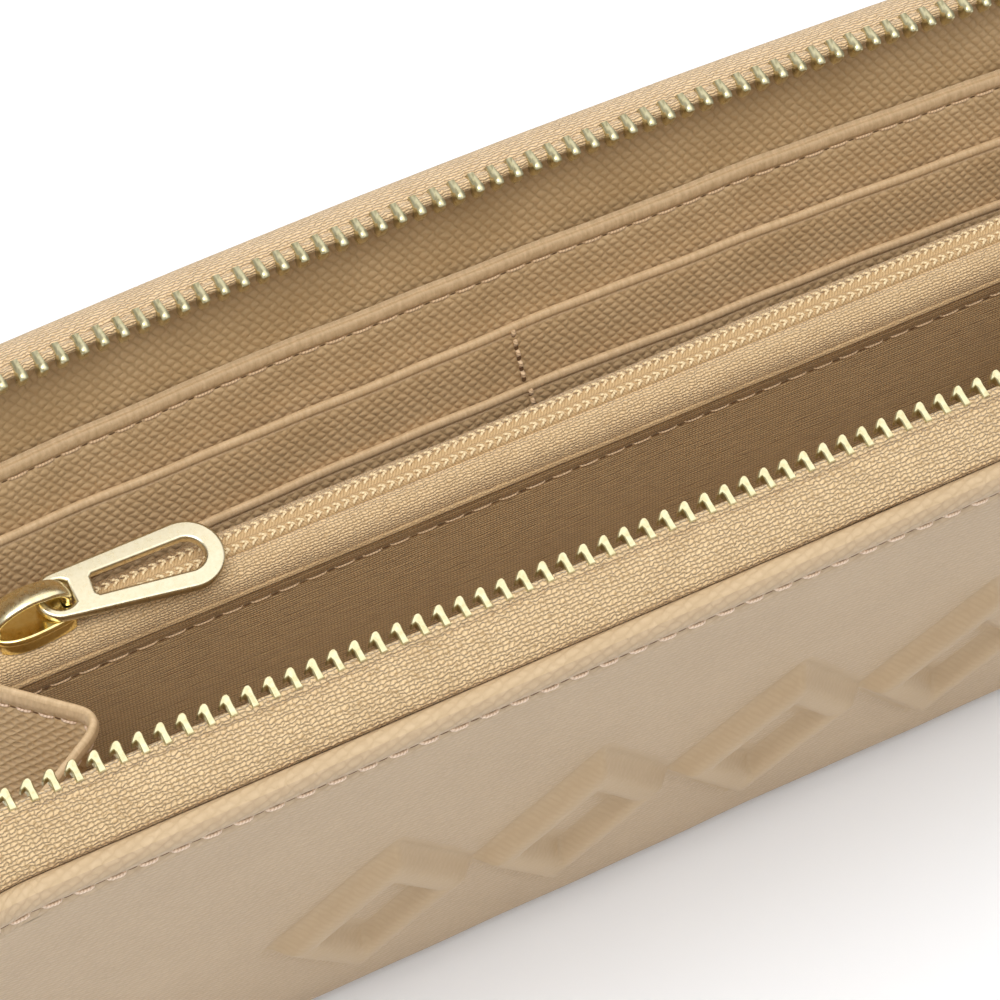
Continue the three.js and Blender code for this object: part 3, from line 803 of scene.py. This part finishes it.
def cover_rim(shape, side):
    """The rolled rim from the face, over the edge and in under the zip tape."""
    top = skin_t(side, TOP)
    total = edge_length(0, top)
    d = np.linspace(0, total, int(total / 0.75))
    outer = [(-FACE_IN + i * 0.2, 0.0) for i in range(15)]
    roll = arc_points((-ROLL, ROLL), ROLL, -88, 88, 12)
    profile = np.array([*outer, *roll, (-2.4, 2 * ROLL), (-6, 2 * ROLL + 0.1)])
    out, inset = profile[:, 0], profile[:, 1]
    x, t, nx, nt = (v[:, None] for v in edge_at(d, 0, top))
    pucker = 0.05 * np.cos(d * 2 * math.pi / COVER_SEAM["pitch"])[:, None]
    depth = -out[None, :]
    outside = np.clip(1 - inset / ROLL, 0, 1)[None, :]
    near = swell(depth, STITCH_IN, 0.9)
    puff = (cover_relief(side, x + nx * out, t + nt * out, depth) + pucker * near) * outside
    points = skin(side, x + nx * out, t + nt * out, inset - puff)
    u, v = x + nx * along(profile), t - nt * along(profile) + 3.3
    # From a third of the way round the roll, over its top and in under the tape, the rim takes slot 1: a lighter
    # copy of the cover leather, painted light on the roll's top.
    half = len(outer) + len(roll) // 3
    for part, slot in ((slice(0, half + 1), 0), (slice(half, None), 1)):
        shape.grid(points[:, part], u[:, part], v[:, part], slot=slot, flip=side == FRONT)


def make_cover(side):
    """The cover's leather, drawn curved round the spine in the half's leaned-open place."""
    name = SIDES[side]
    shape = Shape()
    cover_face(shape, side)
    cover_rim(shape, side)
    piece = shape.build(name + "_cover", [COVER, COVER_ROLL_PAINTED_LIGHT, COVER_PRESSED])
    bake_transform(piece)
    nodes = [name + "_cover_leather"] + (["spine_leather"] if side == FRONT else [])
    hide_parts(*nodes)


def make_cover_stitches(side):
    """The sewn row in the groove along the cover's edge."""
    name = SIDES[side]
    foot, top, total = zip_run(side)
    x, t, nx, nt = edge_at(np.linspace(0, total, 1400), foot, top)
    line = skin(side, x - nx * STITCH_IN, t - nt * STITCH_IN, GROOVE * 0.4)
    above = skin(side, x - nx * STITCH_IN, t - nt * STITCH_IN, -1.0)
    shape = Shape()
    add_stitches(shape, line, above - line, COVER_SEAM, slant=0.16 * side)
    piece = shape.build(name + "_cover_stitches", [THREAD_LIGHT, HOLE_SHADE])
    place(piece, name + "_half", "cover_leather")


# ---- Main zip ----


def make_tape(side):
    """The zip's tape over three edges, with the corded bead that the teeth sit on."""
    name = SIDES[side]
    total = zip_run(side)[2]
    d = np.linspace(0, total, int(total / 1.2))
    profile = ribbon(smooth_line(TAPE_LINE[side], 4), TAPE_THICK)
    far, out = profile[:, 0], profile[:, 1]
    lift = wander(d, 2 + side, 0.07, 23)[:, None] * np.clip((9 - far) / 5, 0, 1)
    points = rim_points(side, d[:, None], far, out + lift)
    shape = Shape()
    shape.grid(points, d[:, None], along(profile), flip=side == BACK)
    bead = np.array(arc_points(BEAD[side], BEAD_RADIUS, 0, 360, 13))
    girth = along(bead)
    points = rim_points(side, d[:, None], bead[:, 0], bead[:, 1])
    shape.grid(points, d[:, None], girth, flip=side == FRONT)
    piece = shape.build(name + "_tape", [FRONT_TAPE if side == FRONT else BACK_TAPE])
    place(piece, name + "_half", "zip_tape", name + "_zip_tape")


# A tooth from its leg's tail to its head, as shares of its length: the front's show their beaks,
# and the back's hang so that the rounded heads show.
ROUND_HEAD = [(0.42, 0), (0.5, 0.5), (0.5, 0.6), (0.6, 0.68), (0.6, 0.86), (0.4, 0.98)]
BEAKED_HEAD = [(-0.46, 0), (-0.44, 0.5), (-0.5, 0.8), (-0.36, 0.96), (0.0, 1.0), (0.36, 0.95)]
BEAKED_HEAD += [(0.7, 0.82), (1.08, 0.64), (0.98, 0.56), (0.5, 0.62), (0.43, 0.5), (0.46, 0)]
TOOTH_OUTLINE = {FRONT: BEAKED_HEAD, BACK: [(-x, y) for x, y in ROUND_HEAD] + ROUND_HEAD[::-1]}
TOOTH_THICK = 1.35
TOOTH_LEVELS = ((-0.5, 0.15), (-0.4, 0.04), (-0.3, 0), (0.34, 0), (0.44, 0.04), (0.5, 0.13))
HEAD_FROM = 0.58
HEAD_DEEPER = {FRONT: 1.0, BACK: 2.4}


def tooth_solid(side, length):
    """One tooth with softened edges: a flat leg, then its head."""
    outline = np.array(TOOTH_OUTLINE[side]) * (1, length)
    head = outline[:, 1] > HEAD_FROM * length
    ahead = np.roll(outline, -1, 0) - np.roll(outline, 1, 0)
    outwards = np.stack([-ahead[:, 1], ahead[:, 0]], -1)
    outwards /= np.linalg.norm(outwards, axis=1)[:, None]
    count = len(outline)
    rings = []
    for level, inset in TOOTH_LEVELS:
        deeper = np.where(head & (level < 0), HEAD_DEEPER[side], 1.0)
        ring = outline - outwards * inset
        rings.append(np.column_stack([ring, level * TOOTH_THICK * deeper]))
    faces = tube_faces(len(rings), count)
    faces.append(list(range(count)))
    faces.append(list(range((len(rings) - 1) * count, len(rings) * count))[::-1])
    return np.vstack(rings), faces


def make_teeth(side):
    """The row of metal teeth, each on its own place of the tape's edge."""
    name = SIDES[side]
    d = np.arange(TOOTH_START[side], zip_run(side)[2] - 1, ZIP_PITCH)
    tail = rim_points(side, d, *TOOTH_TAIL[side])
    head = rim_points(side, d, *TOOTH_HEAD[side])
    ahead = rim_points(side, d + 0.5, *TOOTH_TAIL[side])
    reach = head - tail
    length = float(np.linalg.norm(reach[0]))
    forward = reach / np.linalg.norm(reach, axis=1)[:, None]
    up = np.cross(forward, ahead - tail) * side
    up /= np.linalg.norm(up, axis=1)[:, None]
    axes = np.stack([np.cross(forward, up), forward, up], 1)
    lean = wander(d, 5, 0.02, 9)[:, None]
    axes[:, 0] += axes[:, 1] * lean
    base, faces = tooth_solid(side, length)
    shape = Shape()
    copies(shape, base, faces, tail, axes)
    piece = shape.build(name + "_teeth", [TEETH], smooth=side == BACK)
    place(piece, name + "_half", "zip_metal", name + "_zip_teeth")


# ---- Linings and pockets ----


def make_back_board():
    """The back cover's stiffener, which bows with its cover."""
    low, high = shut_box("back_cover_board", BACK)
    x = np.linspace(low[0], high[0], 40)
    z = np.linspace(low[2], high[2] - 6, 20)
    shape = Shape()
    for far, flip in ((low[1], False), (high[1], True)):
        shape.grid(open_half(BACK, x, far, z[:, None]), x, z[:, None], flip=flip)
    piece = shape.build("back_board", [BOARD])
    place(piece, "back_half", "stiffener", "back_cover_board")


def make_lining(side):
    """Leather lining from the pockets' foot up under the zip tape."""
    name = SIDES[side]
    low, high = shut_box(name + "_lining", side)
    face = float(low[1])
    z = np.concatenate([np.linspace(low[2], 80, 12), np.linspace(82, TOP - 0.5, 22)])
    across = np.linspace(-1, 1, 260)
    x = across[None, :] * half_width(high[0] + 0.2, TOP - z)[:, None]
    z = np.repeat(z[:, None], len(across), 1)
    rise = np.clip((z - 90) / 8, 0, 1)
    far = face + 0.9 * rise**2 + wander(x, 8, 0.12, 70) * np.clip((z - 30) / 50, 0, 1)
    shape = Shape()
    shape.grid(open_half(side, x, far, z), x, z, flip=side == FRONT)
    shape.grid(open_half(side, x, far + 0.5, z), x, z, flip=side == BACK)
    piece = shape.build(name + "_lining_leather", [LINER])
    place(piece, name + "_half", "pocket_leather", name + "_lining")


# A pocket's edge in section: how far below its top and how far in from its face.
WIDE_EDGE = [(-0.45, -0.5), (0.0, -0.3), (0.0, 0.0), (0.12, 0.22), (0.45, 0.36), (0.95, 0.38), (1.4, 0.28)]
WIDE_EDGE += [(1.7, 0.08), (1.95, -0.04), (2.2, 0.04), (2.7, 0.16), (3.6, 0.18), (6, 0.06)]
NARROW_EDGE = [(0.3, -0.6), (0.0, -0.35), (0.0, 0.0), (0.1, 0.18), (0.35, 0.3), (0.7, 0.32), (1.0, 0.22)]
NARROW_EDGE += [(1.2, -0.02), (1.35, -0.1), (1.55, 0.02), (2.0, 0.1), (3.0, 0.1), (6, 0.03)]


EDGE_SEWN = 2.0
SLOT_STEP = 9.0
DIVIDER_FOOT = 12.0
DIVIDER_SLANT = 0.13


def panel_points(side, x, drop, rise, top, face, seed):
    """Points of a pocket's face: drop is down from its top edge and rise is inwards of its face."""
    slack = wander(x, seed, 0.16, 75)
    sag = wander(x, seed + 2, 0.1, 110)
    return open_half(side, x, face - rise - slack, top - drop + sag)


def make_pocket(side, index):
    """A slip or card pocket: its face, its rolled edge and, on the slip pocket, a sewn row."""
    name = SIDES[side]
    node = name + "_" + POCKETS[index]
    low, high = shut_box(node, side)
    face, top = float(low[1]), float(high[2])
    profile = WIDE_EDGE if index == 0 else NARROW_EDGE
    line = smooth_line(profile, 3)
    foot = top - low[2]
    line = np.vstack([[(9, -0.8), (2, -0.75)], line, [(d, 0.0) for d in np.linspace(9, foot, 9)]])
    x = np.linspace(low[0], high[0], 240)
    seed = index * 3 + side
    points = panel_points(side, x[None, :], line[:, :1], line[:, 1:], top, face, seed)
    run = -along(line)[:, None]
    turned_in = np.arange(len(line)) <= 8
    past_edge = 2.0 if index == 0 else 1.5
    edge = int(np.argmax(~turned_in & (line[:, 0] > past_edge)))
    shape = Shape()
    for part, slot in ((slice(0, edge + 1), 1), (slice(edge, None), 0)):
        shape.grid(points[part], x[None, :], run[part], slot=slot, flip=side == BACK)
    piece = shape.build(node + "_leather", [POCKET, EDGE])
    place(piece, name + "_half", "pocket_leather", node)
    if index == 0:
        make_edge_stitches(side, node, x, top, face, seed)


def make_edge_stitches(side, node, x, top, face, seed):
    """The sewn row under the slip pocket's rolled edge."""
    line = panel_points(side, x, EDGE_SEWN, 0.02, top, face, seed)
    above = panel_points(side, x, EDGE_SEWN, 1.2, top, face, seed)
    shape = Shape()
    add_stitches(shape, line, above - line, EDGE_SEAM)
    piece = shape.build(node + "_stitches", [THREAD_TAN, HOLE_SHADE])
    place(piece, SIDES[side] + "_half", "pocket_leather")


def make_divider(side):
    """The upright row of stitches that parts the card slots."""
    name = SIDES[side]
    start = shut_box(name + "_" + POCKETS[1], side)[1][2]
    shape = Shape()
    for index in (1, 2, 3):
        low, high = shut_box(name + "_" + POCKETS[index], side)
        face, top = float(low[1]), float(high[2])
        below = top - SLOT_STEP if index < 3 else DIVIDER_FOOT
        z = np.linspace(top - 0.2, below, 40)
        x = DIVIDER_SLANT * (start - z)
        seed = index * 3 + side
        rise = np.interp(top - z, [0, 0.3, 1.0, 1.5, 2.0], [0.1, 0.3, 0.25, 0.05, 0.12])
        line = panel_points(side, x, top - z, rise, top, face, seed)
        above = panel_points(side, x, top - z, 1.0, top, face, seed)
        add_stitches(shape, line, above - line, DIVIDER_SEAM)
    piece = shape.build(name + "_divider_stitches", [THREAD_TAN, HOLE_SHADE])
    place(piece, name + "_half", "pocket_leather")


# ---- Coin pocket ----

COIN_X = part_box("coin_pocket_wall_front")[1].x / MM
COIL_TOP = 75.0
COIL_PITCH = 1.18
COIN_TAPE_LINE = [(3.75, 70.4), (3.9, 71.6), (3.6, 72.8), (2.8, 73.7), (1.8, 74.1), (0.7, 74.1)]
COIL_LINE = [(0.01, 73.9), (0.01, 74.75), (0.3, 74.9), (0.8, 74.95), (1.2, 74.85), (1.5, 74.5), (1.45, 73.9)]
LINING_IN = 0.3  # how far the lining lies in from the CAD wall
LINING_THICK = 0.3
WALL_FOOT_FAR = 2.6
WALL_SPREAD = 1.3
HEM_SEWN = 67.9
HEM_TOP = 70.2


def coin_strip(line, x, side, seed, slack):
    """A strip along the coin pocket from a line of (distance from its middle, height)."""
    line = np.array(line, float)
    give = wander(x, seed, slack, 64)[:, None]
    points = lean_coin(x[:, None], side * (line[:, 0] + give), line[:, 1] + 0.4 * give)
    shape = Shape()
    shape.grid(points, x[:, None], along(line), flip=side > 0)
    return shape


def place_coin_piece(shape, name, materials, slot, *nodes):
    return place(shape.build(name, materials), "coin_pocket", slot, *nodes)


def wall_give(x, side, rise):
    """The lining's slackness, from its foot at rise 0 to its top at rise 1."""
    return wander(x, 4 + side, 0.1, 80) * np.sin(rise * math.pi * 0.9)


def make_coin_wall(side):
    """The pocket's lining cloth with a turned, sewn hem at its top."""
    word = SIDES[side]
    x = np.linspace(-COIN_X, COIN_X, 220)
    z = np.concatenate([np.linspace(COIN_FOOT, 62, 24), np.linspace(63, HEM_TOP, 22)])
    far = WALL_FOOT_FAR + WALL_SPREAD * (z - COIN_FOOT) / 64.4 - LINING_IN
    hem = 0.16 * swell(z, 69.0, 0.6) - 0.22 * swell(z, HEM_SEWN, 0.35)
    out = far + hem + wall_give(x[:, None], side, (z - COIN_FOOT) / 64)
    shape = Shape()
    for inwards, flip in ((0.0, side < 0), (LINING_THICK, side > 0)):
        points = lean_coin(x[:, None], side * (out - inwards), z)
        shape.grid(points, x[:, None], z[None, :], flip=flip)
    name = "coin_lining_" + word
    piece = place_coin_piece(shape, name, [CLOTH], "lining_cloth", "coin_pocket_wall_" + word)
    shape = Shape()
    out = WALL_FOOT_FAR + WALL_SPREAD - LINING_IN + wall_give(x, side, 62 / 64)
    line = lean_coin(x, side * out, HEM_SEWN)
    above = lean_coin(x, side * (out + 1), HEM_SEWN)
    add_stitches(shape, line, above - line, HEM_SEAM)
    place_coin_piece(shape, name + "_stitches", [THREAD_TAN, HOLE_SHADE], "lining_cloth")


def make_coin_zip(side):
    """Piping and tape of one side of the coin zip."""
    word = SIDES[side]
    x = np.linspace(-COIN_X, COIN_X, 240)
    shape = coin_strip(arc_points((4.0, 70.6), 0.36, -200, 160, 13), x, side, 5, 0.06)
    place_coin_piece(shape, "coin_piping_" + word, [PIPING], "pocket_leather", "coin_pocket_edge_" + word)
    shape = coin_strip(ribbon(smooth_line(COIN_TAPE_LINE, 4), 0.45), x, side, 6, 0.08)
    place_coin_piece(shape, "coin_tape_" + word, [COIN_TAPE], "zip_tape", "coin_zip_tape_" + word)


def make_coin_coil(side):
    """A nylon coil under a row of chain stitches."""
    word = SIDES[side]
    end = COIN_X - 6
    x = np.arange(-end, end, 0.2)
    line = smooth_line(COIL_LINE, 3)
    ripple = 0.07 * np.cos(x * 2 * math.pi / 0.62)[:, None] * np.clip((line[:, 1] - 74.2) / 0.6, 0, 1)
    shape = Shape()
    points = lean_coin(x[:, None], side * line[:, 0], line[:, 1] + ripple)
    shape.grid(points, x[:, None], along(line), flip=side > 0)
    centres = np.arange(-end + 1, end - 1, COIL_PITCH)
    base, faces = stitch_solid(1.15, 0.17)
    for far, slope in ((1.22, -0.62), (0.82, 0.62)):
        at = lean_coin(centres, side * far, COIL_TOP)
        up = lean_coin(centres, side * far, COIL_TOP + 1) - at
        ahead = lean_coin(centres + 1, side * (far + slope), COIL_TOP) - at
        copies(shape, base, faces, at, frames(ahead, up), slot=1)
    name = "coin_coil_" + word
    place_coin_piece(shape, name, [COIL, COIL_THREAD], "zip_coil", "coin_zip_coil_" + word)


# ---- Gussets ----

GUSSET_TOP = 80.0
GUSSET_FOOT = 5.0
GUSSET_WALL_X = 90.0
GUSSET_COIN_X = 80.7
GUSSET_FOLD_IN = 12.9
GUSSET_WALL_GAP = 0.6
GUSSET_THICK = 0.7
GUSSET_SEWN = 2.6


def wall_face(side, z):
    """Distance from the middle plane of a half's innermost face at a real height."""
    cos, sin = math.cos(LEAN[side]), math.sin(LEAN[side])
    inner = float(shut_box(SIDES[side] + "_" + POCKETS[3], side)[0][1])
    up = (z - FOLD_Z + (inner - FOLD_Y) * sin) / cos
    return FOLD_Y + (inner - FOLD_Y) * cos + up * sin


def gusset_points(side, end, s, z):
    """A leaf's surface: s from 0 at the wall, over the soft fold, to 1 at the coin pocket."""
    wall_y = wall_face(side, z) - GUSSET_WALL_GAP - (1.9 if side == BACK else 0.0) * z / TOP
    coin_y = 3.9 + 0.03 * (z - COIN_FOOT) + side * math.sin(COIN_LEAN) * (z - COIN_FOOT)
    fold_x = GUSSET_COIN_X - GUSSET_FOLD_IN * np.clip((wall_y - coin_y) / 27, 0, 1)
    fold_y = (wall_y + coin_y) / 2
    x, y = 0.0, 0.0
    softness = np.linspace(-0.07, 0.07, 9)
    for nudge in softness:
        at = np.clip(s + nudge * np.minimum(1, 10 * np.minimum(s, 1 - s)), 0, 1)
        first, second = np.clip(at * 2, 0, 1), np.clip(at * 2 - 1, 0, 1)
        x = x + GUSSET_WALL_X + (fold_x - GUSSET_WALL_X) * first + (GUSSET_COIN_X - fold_x) * second
        y = y + wall_y + (fold_y - wall_y) * first + (coin_y - fold_y) * second
    count = len(softness)
    return np.stack(np.broadcast_arrays(end * x / count, side * y / count, z), -1)


def gusset_crest(outer, inner, crest, normal):
    """Rows over the leaf's top edge, from one face to the other."""
    rings = [outer, crest + normal * 0.28 + [0, 0, 0.34], crest + [0, 0, 0.46]]
    return np.array([*rings, crest - normal * 0.28 + [0, 0, 0.34], inner])


def make_gusset(side, end):
    """A leather leaf folded inwards between the half and the coin pocket, its top edge turned."""
    name = "gusset_" + SIDES[side] + "_" + ENDS[end]
    low = np.linspace(GUSSET_FOOT, GUSSET_TOP - 5, 30)
    z = np.concatenate([low, np.linspace(GUSSET_TOP - 4.6, GUSSET_TOP, 16)])
    ss, zz = np.meshgrid(np.linspace(0, 1, 60), z)
    body = gusset_points(side, end, ss, zz)
    normal = np.cross(np.gradient(body, axis=1), np.gradient(body, axis=0))
    normal /= np.linalg.norm(normal, axis=2)[..., None] + 1e-9
    normal *= -end * side
    drop = GUSSET_TOP - zz
    puff = 0.3 * swell(drop, 0.9, 0.8) - 0.2 * swell(drop, GUSSET_SEWN, 0.4)
    outer = body + normal * (GUSSET_THICK / 2 + puff)[..., None]
    inner = body - normal * (GUSSET_THICK / 2 + puff)[..., None]
    length = np.stack([along(row) for row in body])
    length -= length[:, body.shape[1] // 2, None]
    edge = len(z) - 7
    shape = Shape()
    for surface, flip in ((outer, end * side < 0), (inner, end * side > 0)):
        shape.grid(surface[: edge + 1], length[: edge + 1], zz[: edge + 1], flip=flip)
        shape.grid(surface[edge:], length[edge:], zz[edge:], slot=1, flip=flip)
    crest = gusset_crest(outer[-1], inner[-1], body[-1], normal[-1])
    shape.grid(crest, length[-1:], np.linspace(0, 1.6, 5)[:, None], slot=1, flip=end * side < 0)
    piece = shape.build(name + "_leaf", [POCKET, EDGE])
    blend_gusset(piece)
    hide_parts(name)
    row = int(np.argmin(np.abs(z - (GUSSET_TOP - GUSSET_SEWN))))
    make_gusset_stitches(name, body[row], normal[row])


def make_gusset_stitches(name, line, normal):
    """The sewn row under the leaf's top edge, on both of its faces."""
    shape = Shape()
    for face in (1, -1):
        add_stitches(shape, line + face * normal * 0.24, face * normal, GUSSET_SEAM)
    piece = shape.build(name + "_stitches", [THREAD_LIGHT, HOLE_SHADE])
    blend_gusset(piece)


def blend_gusset(piece):
    """Bakes the piece's place into its mesh; it rides no body."""
    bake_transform(piece)


COIN_END_TOP = 74.0
COIN_END_ROUND = 4.0  # how far below its top the strip starts to close in
COIN_END_BOW = 0.9


def make_coin_end(end):
    """A bowed strip that closes the coin pocket's end, where the leaves' inner edges are sewn."""
    z = np.linspace(COIN_FOOT + 0.6, COIN_END_TOP, 50)[:, None]
    share = np.linspace(-1, 1, 17)[None, :]
    up = z - COIN_FOOT
    round_from = COIN_END_TOP - COIN_END_ROUND
    closing = np.sqrt(1 - (np.clip(z - round_from, 0, None) / (COIN_END_ROUND + 0.4)) ** 2)
    across = share * (4.3 + 0.03 * up) * closing
    bow = COIN_END_BOW * (np.sqrt(1 - 0.98 * share**2) - 1)
    shape = Shape()
    for inwards, flip in ((0.0, end < 0), (0.5, end > 0)):
        x = end * (GUSSET_COIN_X + bow - inwards)
        points = np.stack(np.broadcast_arrays(x, across + math.sin(COIN_LEAN) * up, z), -1)
        shape.grid(points, across, z, flip=flip)
    piece = shape.build("coin_end_" + ENDS[end], [EDGE])
    place(piece, "coin_pocket", "pocket_leather", "coin_pocket_end_" + ENDS[end])


# ---- Sliders and pullers, drawn with the zip along x, the nose at -x and the track at height 0 ----

SLIDERS = {
    "coin": {"half": 5.3, "width": 3.1, "lower": -1.3, "upper": 1.9, "wall": 0.9, "facing": 1},
    "main": {"half": 5.75, "width": 3.7, "lower": -2.4, "upper": 2.4, "wall": 1.0, "facing": -1},
}
PIVOT_AHEAD = 2.0
PIVOT_CLEAR = 0.6
PLATE_EDGE = 0.28
COIN_PULL_REST = (-4.0, 2.0, 15.0)  # how the loose puller lies: yaw, dip and roll, in degrees
PULLERS = {
    "coin": {"joint": "coin_puller_lifts", "length": 21.8, "width": 4.4, "thick": 1.3, "slot": 6.1},
    "main": {"joint": "main_puller_swings", "length": 23.3, "width": 3.5, "thick": 1.4, "slot": 7.0},
}


def slider_matrix(word, turned=False):
    """From a slider's drawing, in millimetres, to the wallet, with its origin on the track."""
    spec, puller = SLIDERS[word], PULLERS[word]
    pivot = Vector(JOINTS[puller["joint"]]["pos_m"]) / MM
    if word == "coin":
        basis = Matrix.Rotation(-COIN_LEAN, 3, "X")
    else:
        basis = Matrix.Rotation(math.pi / 2, 3, "Y")
    height = spec["upper"] + spec["wall"] + PIVOT_CLEAR + puller["thick"] / 2
    offset = basis @ Vector((spec["facing"] * PIVOT_AHEAD, 0, height))
    if turned and spec["facing"] < 0:
        basis = basis @ Matrix.Rotation(math.pi, 3, "Z")
    return Matrix.Translation(pivot - offset) @ basis.to_4x4()


def cut_plate(loops, z0, z1, bevel):
    """A flat part with holes and rounded edges, between two heights: its points and its faces."""
    curve = bpy.data.curves.new("outline", "CURVE")
    curve.dimensions = "2D"
    curve.fill_mode = "BOTH"
    curve.extrude = (z1 - z0) / 2 - bevel
    curve.bevel_depth = bevel
    curve.bevel_resolution = 3
    curve.offset = -bevel
    for loop in loops:
        spline = curve.splines.new("POLY")
        spline.points.add(len(loop) - 1)
        for point, (x, y) in zip(spline.points, loop):
            point.co = (x, y, 0, 1)
        spline.use_cyclic_u = True
    drawing = bpy.data.objects.new("outline", curve)
    bpy.context.scene.collection.objects.link(drawing)
    bpy.context.view_layer.update()
    graph = bpy.context.evaluated_depsgraph_get()
    mesh = bpy.data.meshes.new_from_object(drawing.evaluated_get(graph))
    bpy.data.objects.remove(drawing)
    mesh.transform(Matrix.Translation((0, 0, (z0 + z1) / 2)))
    return [v.co for v in mesh.vertices], [list(p.vertices) for p in mesh.polygons]


def join_solids(name, solids, matrix, material, smooth_angle=35):
    """One piece from several drawn solids, placed on the wallet."""
    shape = Shape()
    for points, faces in solids:
        copies(shape, points, faces, [(0, 0, 0)], [np.eye(3)])
    piece = shape.build(name, [material])
    piece.data.transform(Matrix.Scale(MM, 4) @ matrix @ Matrix.Scale(1 / MM, 4))
    piece.data.set_sharp_from_angle(angle=math.radians(smooth_angle))
    return piece


def slider_outline(spec):
    half, width = spec["half"], spec["width"]
    upper = [(-half, 0), (-half * 0.92, width * 0.42), (-half * 0.62, width * 0.84), (-half * 0.15, width)]
    upper += [(half * 0.5, width * 0.93), (half * 0.9, width * 0.8), (half, width * 0.55)]
    lower = [(x, -y) for x, y in upper[:0:-1]]
    loop = smooth_line([*upper, *lower, upper[0]], 4)[:-1]
    return loop.tolist()


def side_walls(spec):
    """The slider's two flanges, which hold the zip's edges in."""
    walls = []
    for side in (-1, 1):
        outer = [(x * 0.97, y * 0.97) for x, y in slider_outline(spec) if y * side > spec["width"] * 0.6]
        inner = [(x, y - side * 0.5) for x, y in reversed(outer)]
        walls.append(cut_plate([outer + inner], spec["upper"] * 0.3, spec["upper"] + 0.2, 0.08))
    return walls


def crown_solid(spec):
    """The arched bridge: a broad band that rises from the nose and comes down in the puller's eye."""
    foot = spec["upper"] + spec["wall"]
    end = spec["half"] * 0.97
    path = [(-end * 0.75, -0.3), (-end * 0.8, 0.9), (-end * 0.55, 2.3), (-end * 0.1, 3.05)]
    path += [(end * 0.35, 3.1), (end * 0.75, 2.6), (end * 0.95, 1.4), (end * 0.93, 0.2)]
    line = smooth_line(path, 5)
    normal = left_of(line)
    share = np.linspace(0, 1, len(line))
    half_width = np.interp(share, [0, 0.3, 0.6, 1], [1.15, 1.6, 1.5, 0.95])
    angle = np.linspace(0, 2 * math.pi, 25)
    around = np.sign(np.cos(angle)) * np.abs(np.cos(angle)) ** 0.8
    over = 0.55 * np.sign(np.sin(angle)) * np.abs(np.sin(angle)) ** 0.8
    x = line[:, 0:1] + normal[:, 0:1] * over
    y = half_width[:, None] * around + 0 * x
    z = foot + line[:, 1:2] + normal[:, 1:2] * over
    shape = Shape()
    shape.grid(np.stack([x, y, z], -1), x, y)
    return shape.points[0], shape.faces


def make_slider(word):
    """Two plates on a wedge with side walls, and the bridge that holds the puller."""
    spec = SLIDERS[word]
    outline = slider_outline(spec)
    top = cut_plate([outline], spec["upper"], spec["upper"] + spec["wall"], PLATE_EDGE)
    low = cut_plate([outline], spec["lower"] - spec["wall"], spec["lower"], PLATE_EDGE)
    post = [(-spec["half"] * 0.8, -0.4), (-spec["half"] * 0.2, -0.4)]
    post += [(-spec["half"] * 0.2, 0.4), (-spec["half"] * 0.8, 0.4)]
    wedge = cut_plate([post], spec["lower"] - 0.2, spec["upper"] + 0.2, 0.05)
    body = join_solids(word + "_slider", [top, low, wedge, *side_walls(spec)], slider_matrix(word), GOLD)
    crown = join_solids(word + "_crown", [crown_solid(spec)], slider_matrix(word, True), BRIDGE, 60)
    for piece, node in ((body, "_slider_body"), (crown, "_slider_crown")):
        place(piece, word + "_slider", "zip_metal", word + node)


def make_puller(word):
    """A tapering plate with a round end, a D-shaped eye and a long slot."""
    spec, slider = PULLERS[word], SLIDERS[word]
    width, far = spec["width"], spec["length"] - spec["width"]
    eye_x, ring = 2.2, min(3.0, width * 0.78)
    tangent = 90 + math.degrees(math.asin((width - ring) / (far - eye_x)))
    outline = arc_points((eye_x, 0), ring, tangent, 360 - tangent, 22)
    outline += arc_points((far, 0), width, -tangent, tangent, 32)
    eye = arc_points((eye_x, 0), ring - 1.1, 48, 312, 22)
    inner = width * 0.48
    slot = arc_points((far, 0), inner, -88, 88, 20)
    slot += [(spec["slot"] + 0.35, inner * 0.65), (spec["slot"], inner * 0.65 - 0.35)]
    slot += [(spec["slot"], 0.35 - inner * 0.65), (spec["slot"] + 0.35, -inner * 0.65)]
    half = spec["thick"] / 2
    plate = cut_plate([outline, eye, slot], -half, half, 0.34)
    lift = slider["upper"] + slider["wall"] + PIVOT_CLEAR + half
    matrix = slider_matrix(word, True) @ Matrix.Translation((PIVOT_AHEAD, 0, lift))
    if word == "coin":
        for angle, axis in zip(COIN_PULL_REST, "ZYX"):
            matrix = matrix @ Matrix.Rotation(math.radians(angle), 4, axis)
    piece = join_solids(word + "_pull", [plate], matrix, CHAMPAGNE)
    place(piece, word + "_pull", "zip_metal", word + "_puller")


# ---- Hardware and hidden pieces that keep their CAD shape ----


def dress(node, material, bevel=0.0):
    """Gives a CAD node its material and, for hardware, softly rounded edges."""
    piece = frame["nodes"][node]
    piece.data.materials.clear()
    piece.data.materials.append(material)
    if bevel:
        rounding = piece.modifiers.new("rounded_edges", "BEVEL")
        rounding.width = bevel * MM
        rounding.segments = 3
        rounding.limit_method = "ANGLE"
        rounding.angle_limit = math.radians(30)
        piece.data.polygons.foreach_set("use_smooth", [False] * len(piece.data.polygons))


def dress_frame():
    dress("front_cover_board", BOARD)
    dress("spine_board", BOARD)
    dress("spine_lining", TRIM_CLOTH)
    dress("coin_pocket_base", TRIM_CLOTH)
    for word in ENDS.values():
        dress("zip_end_tab_" + word, TRIM, 0.3)
        dress("coin_zip_stop_" + word, CHAMPAGNE, 0.15)


make_camera()
make_stage()
dress_frame()
make_back_board()
for half in (FRONT, BACK):
    make_cover(half)
    make_cover_stitches(half)
    make_tape(half)
    make_teeth(half)
    make_lining(half)
    for number in range(len(POCKETS)):
        make_pocket(half, number)
    make_divider(half)
    make_coin_wall(half)
    make_coin_zip(half)
    make_coin_coil(half)
    for corner in ENDS:
        make_gusset(half, corner)

for corner in ENDS:
    make_coin_end(corner)
for zip_name in ("coin", "main"):
    make_slider(zip_name)
    make_puller(zip_name)
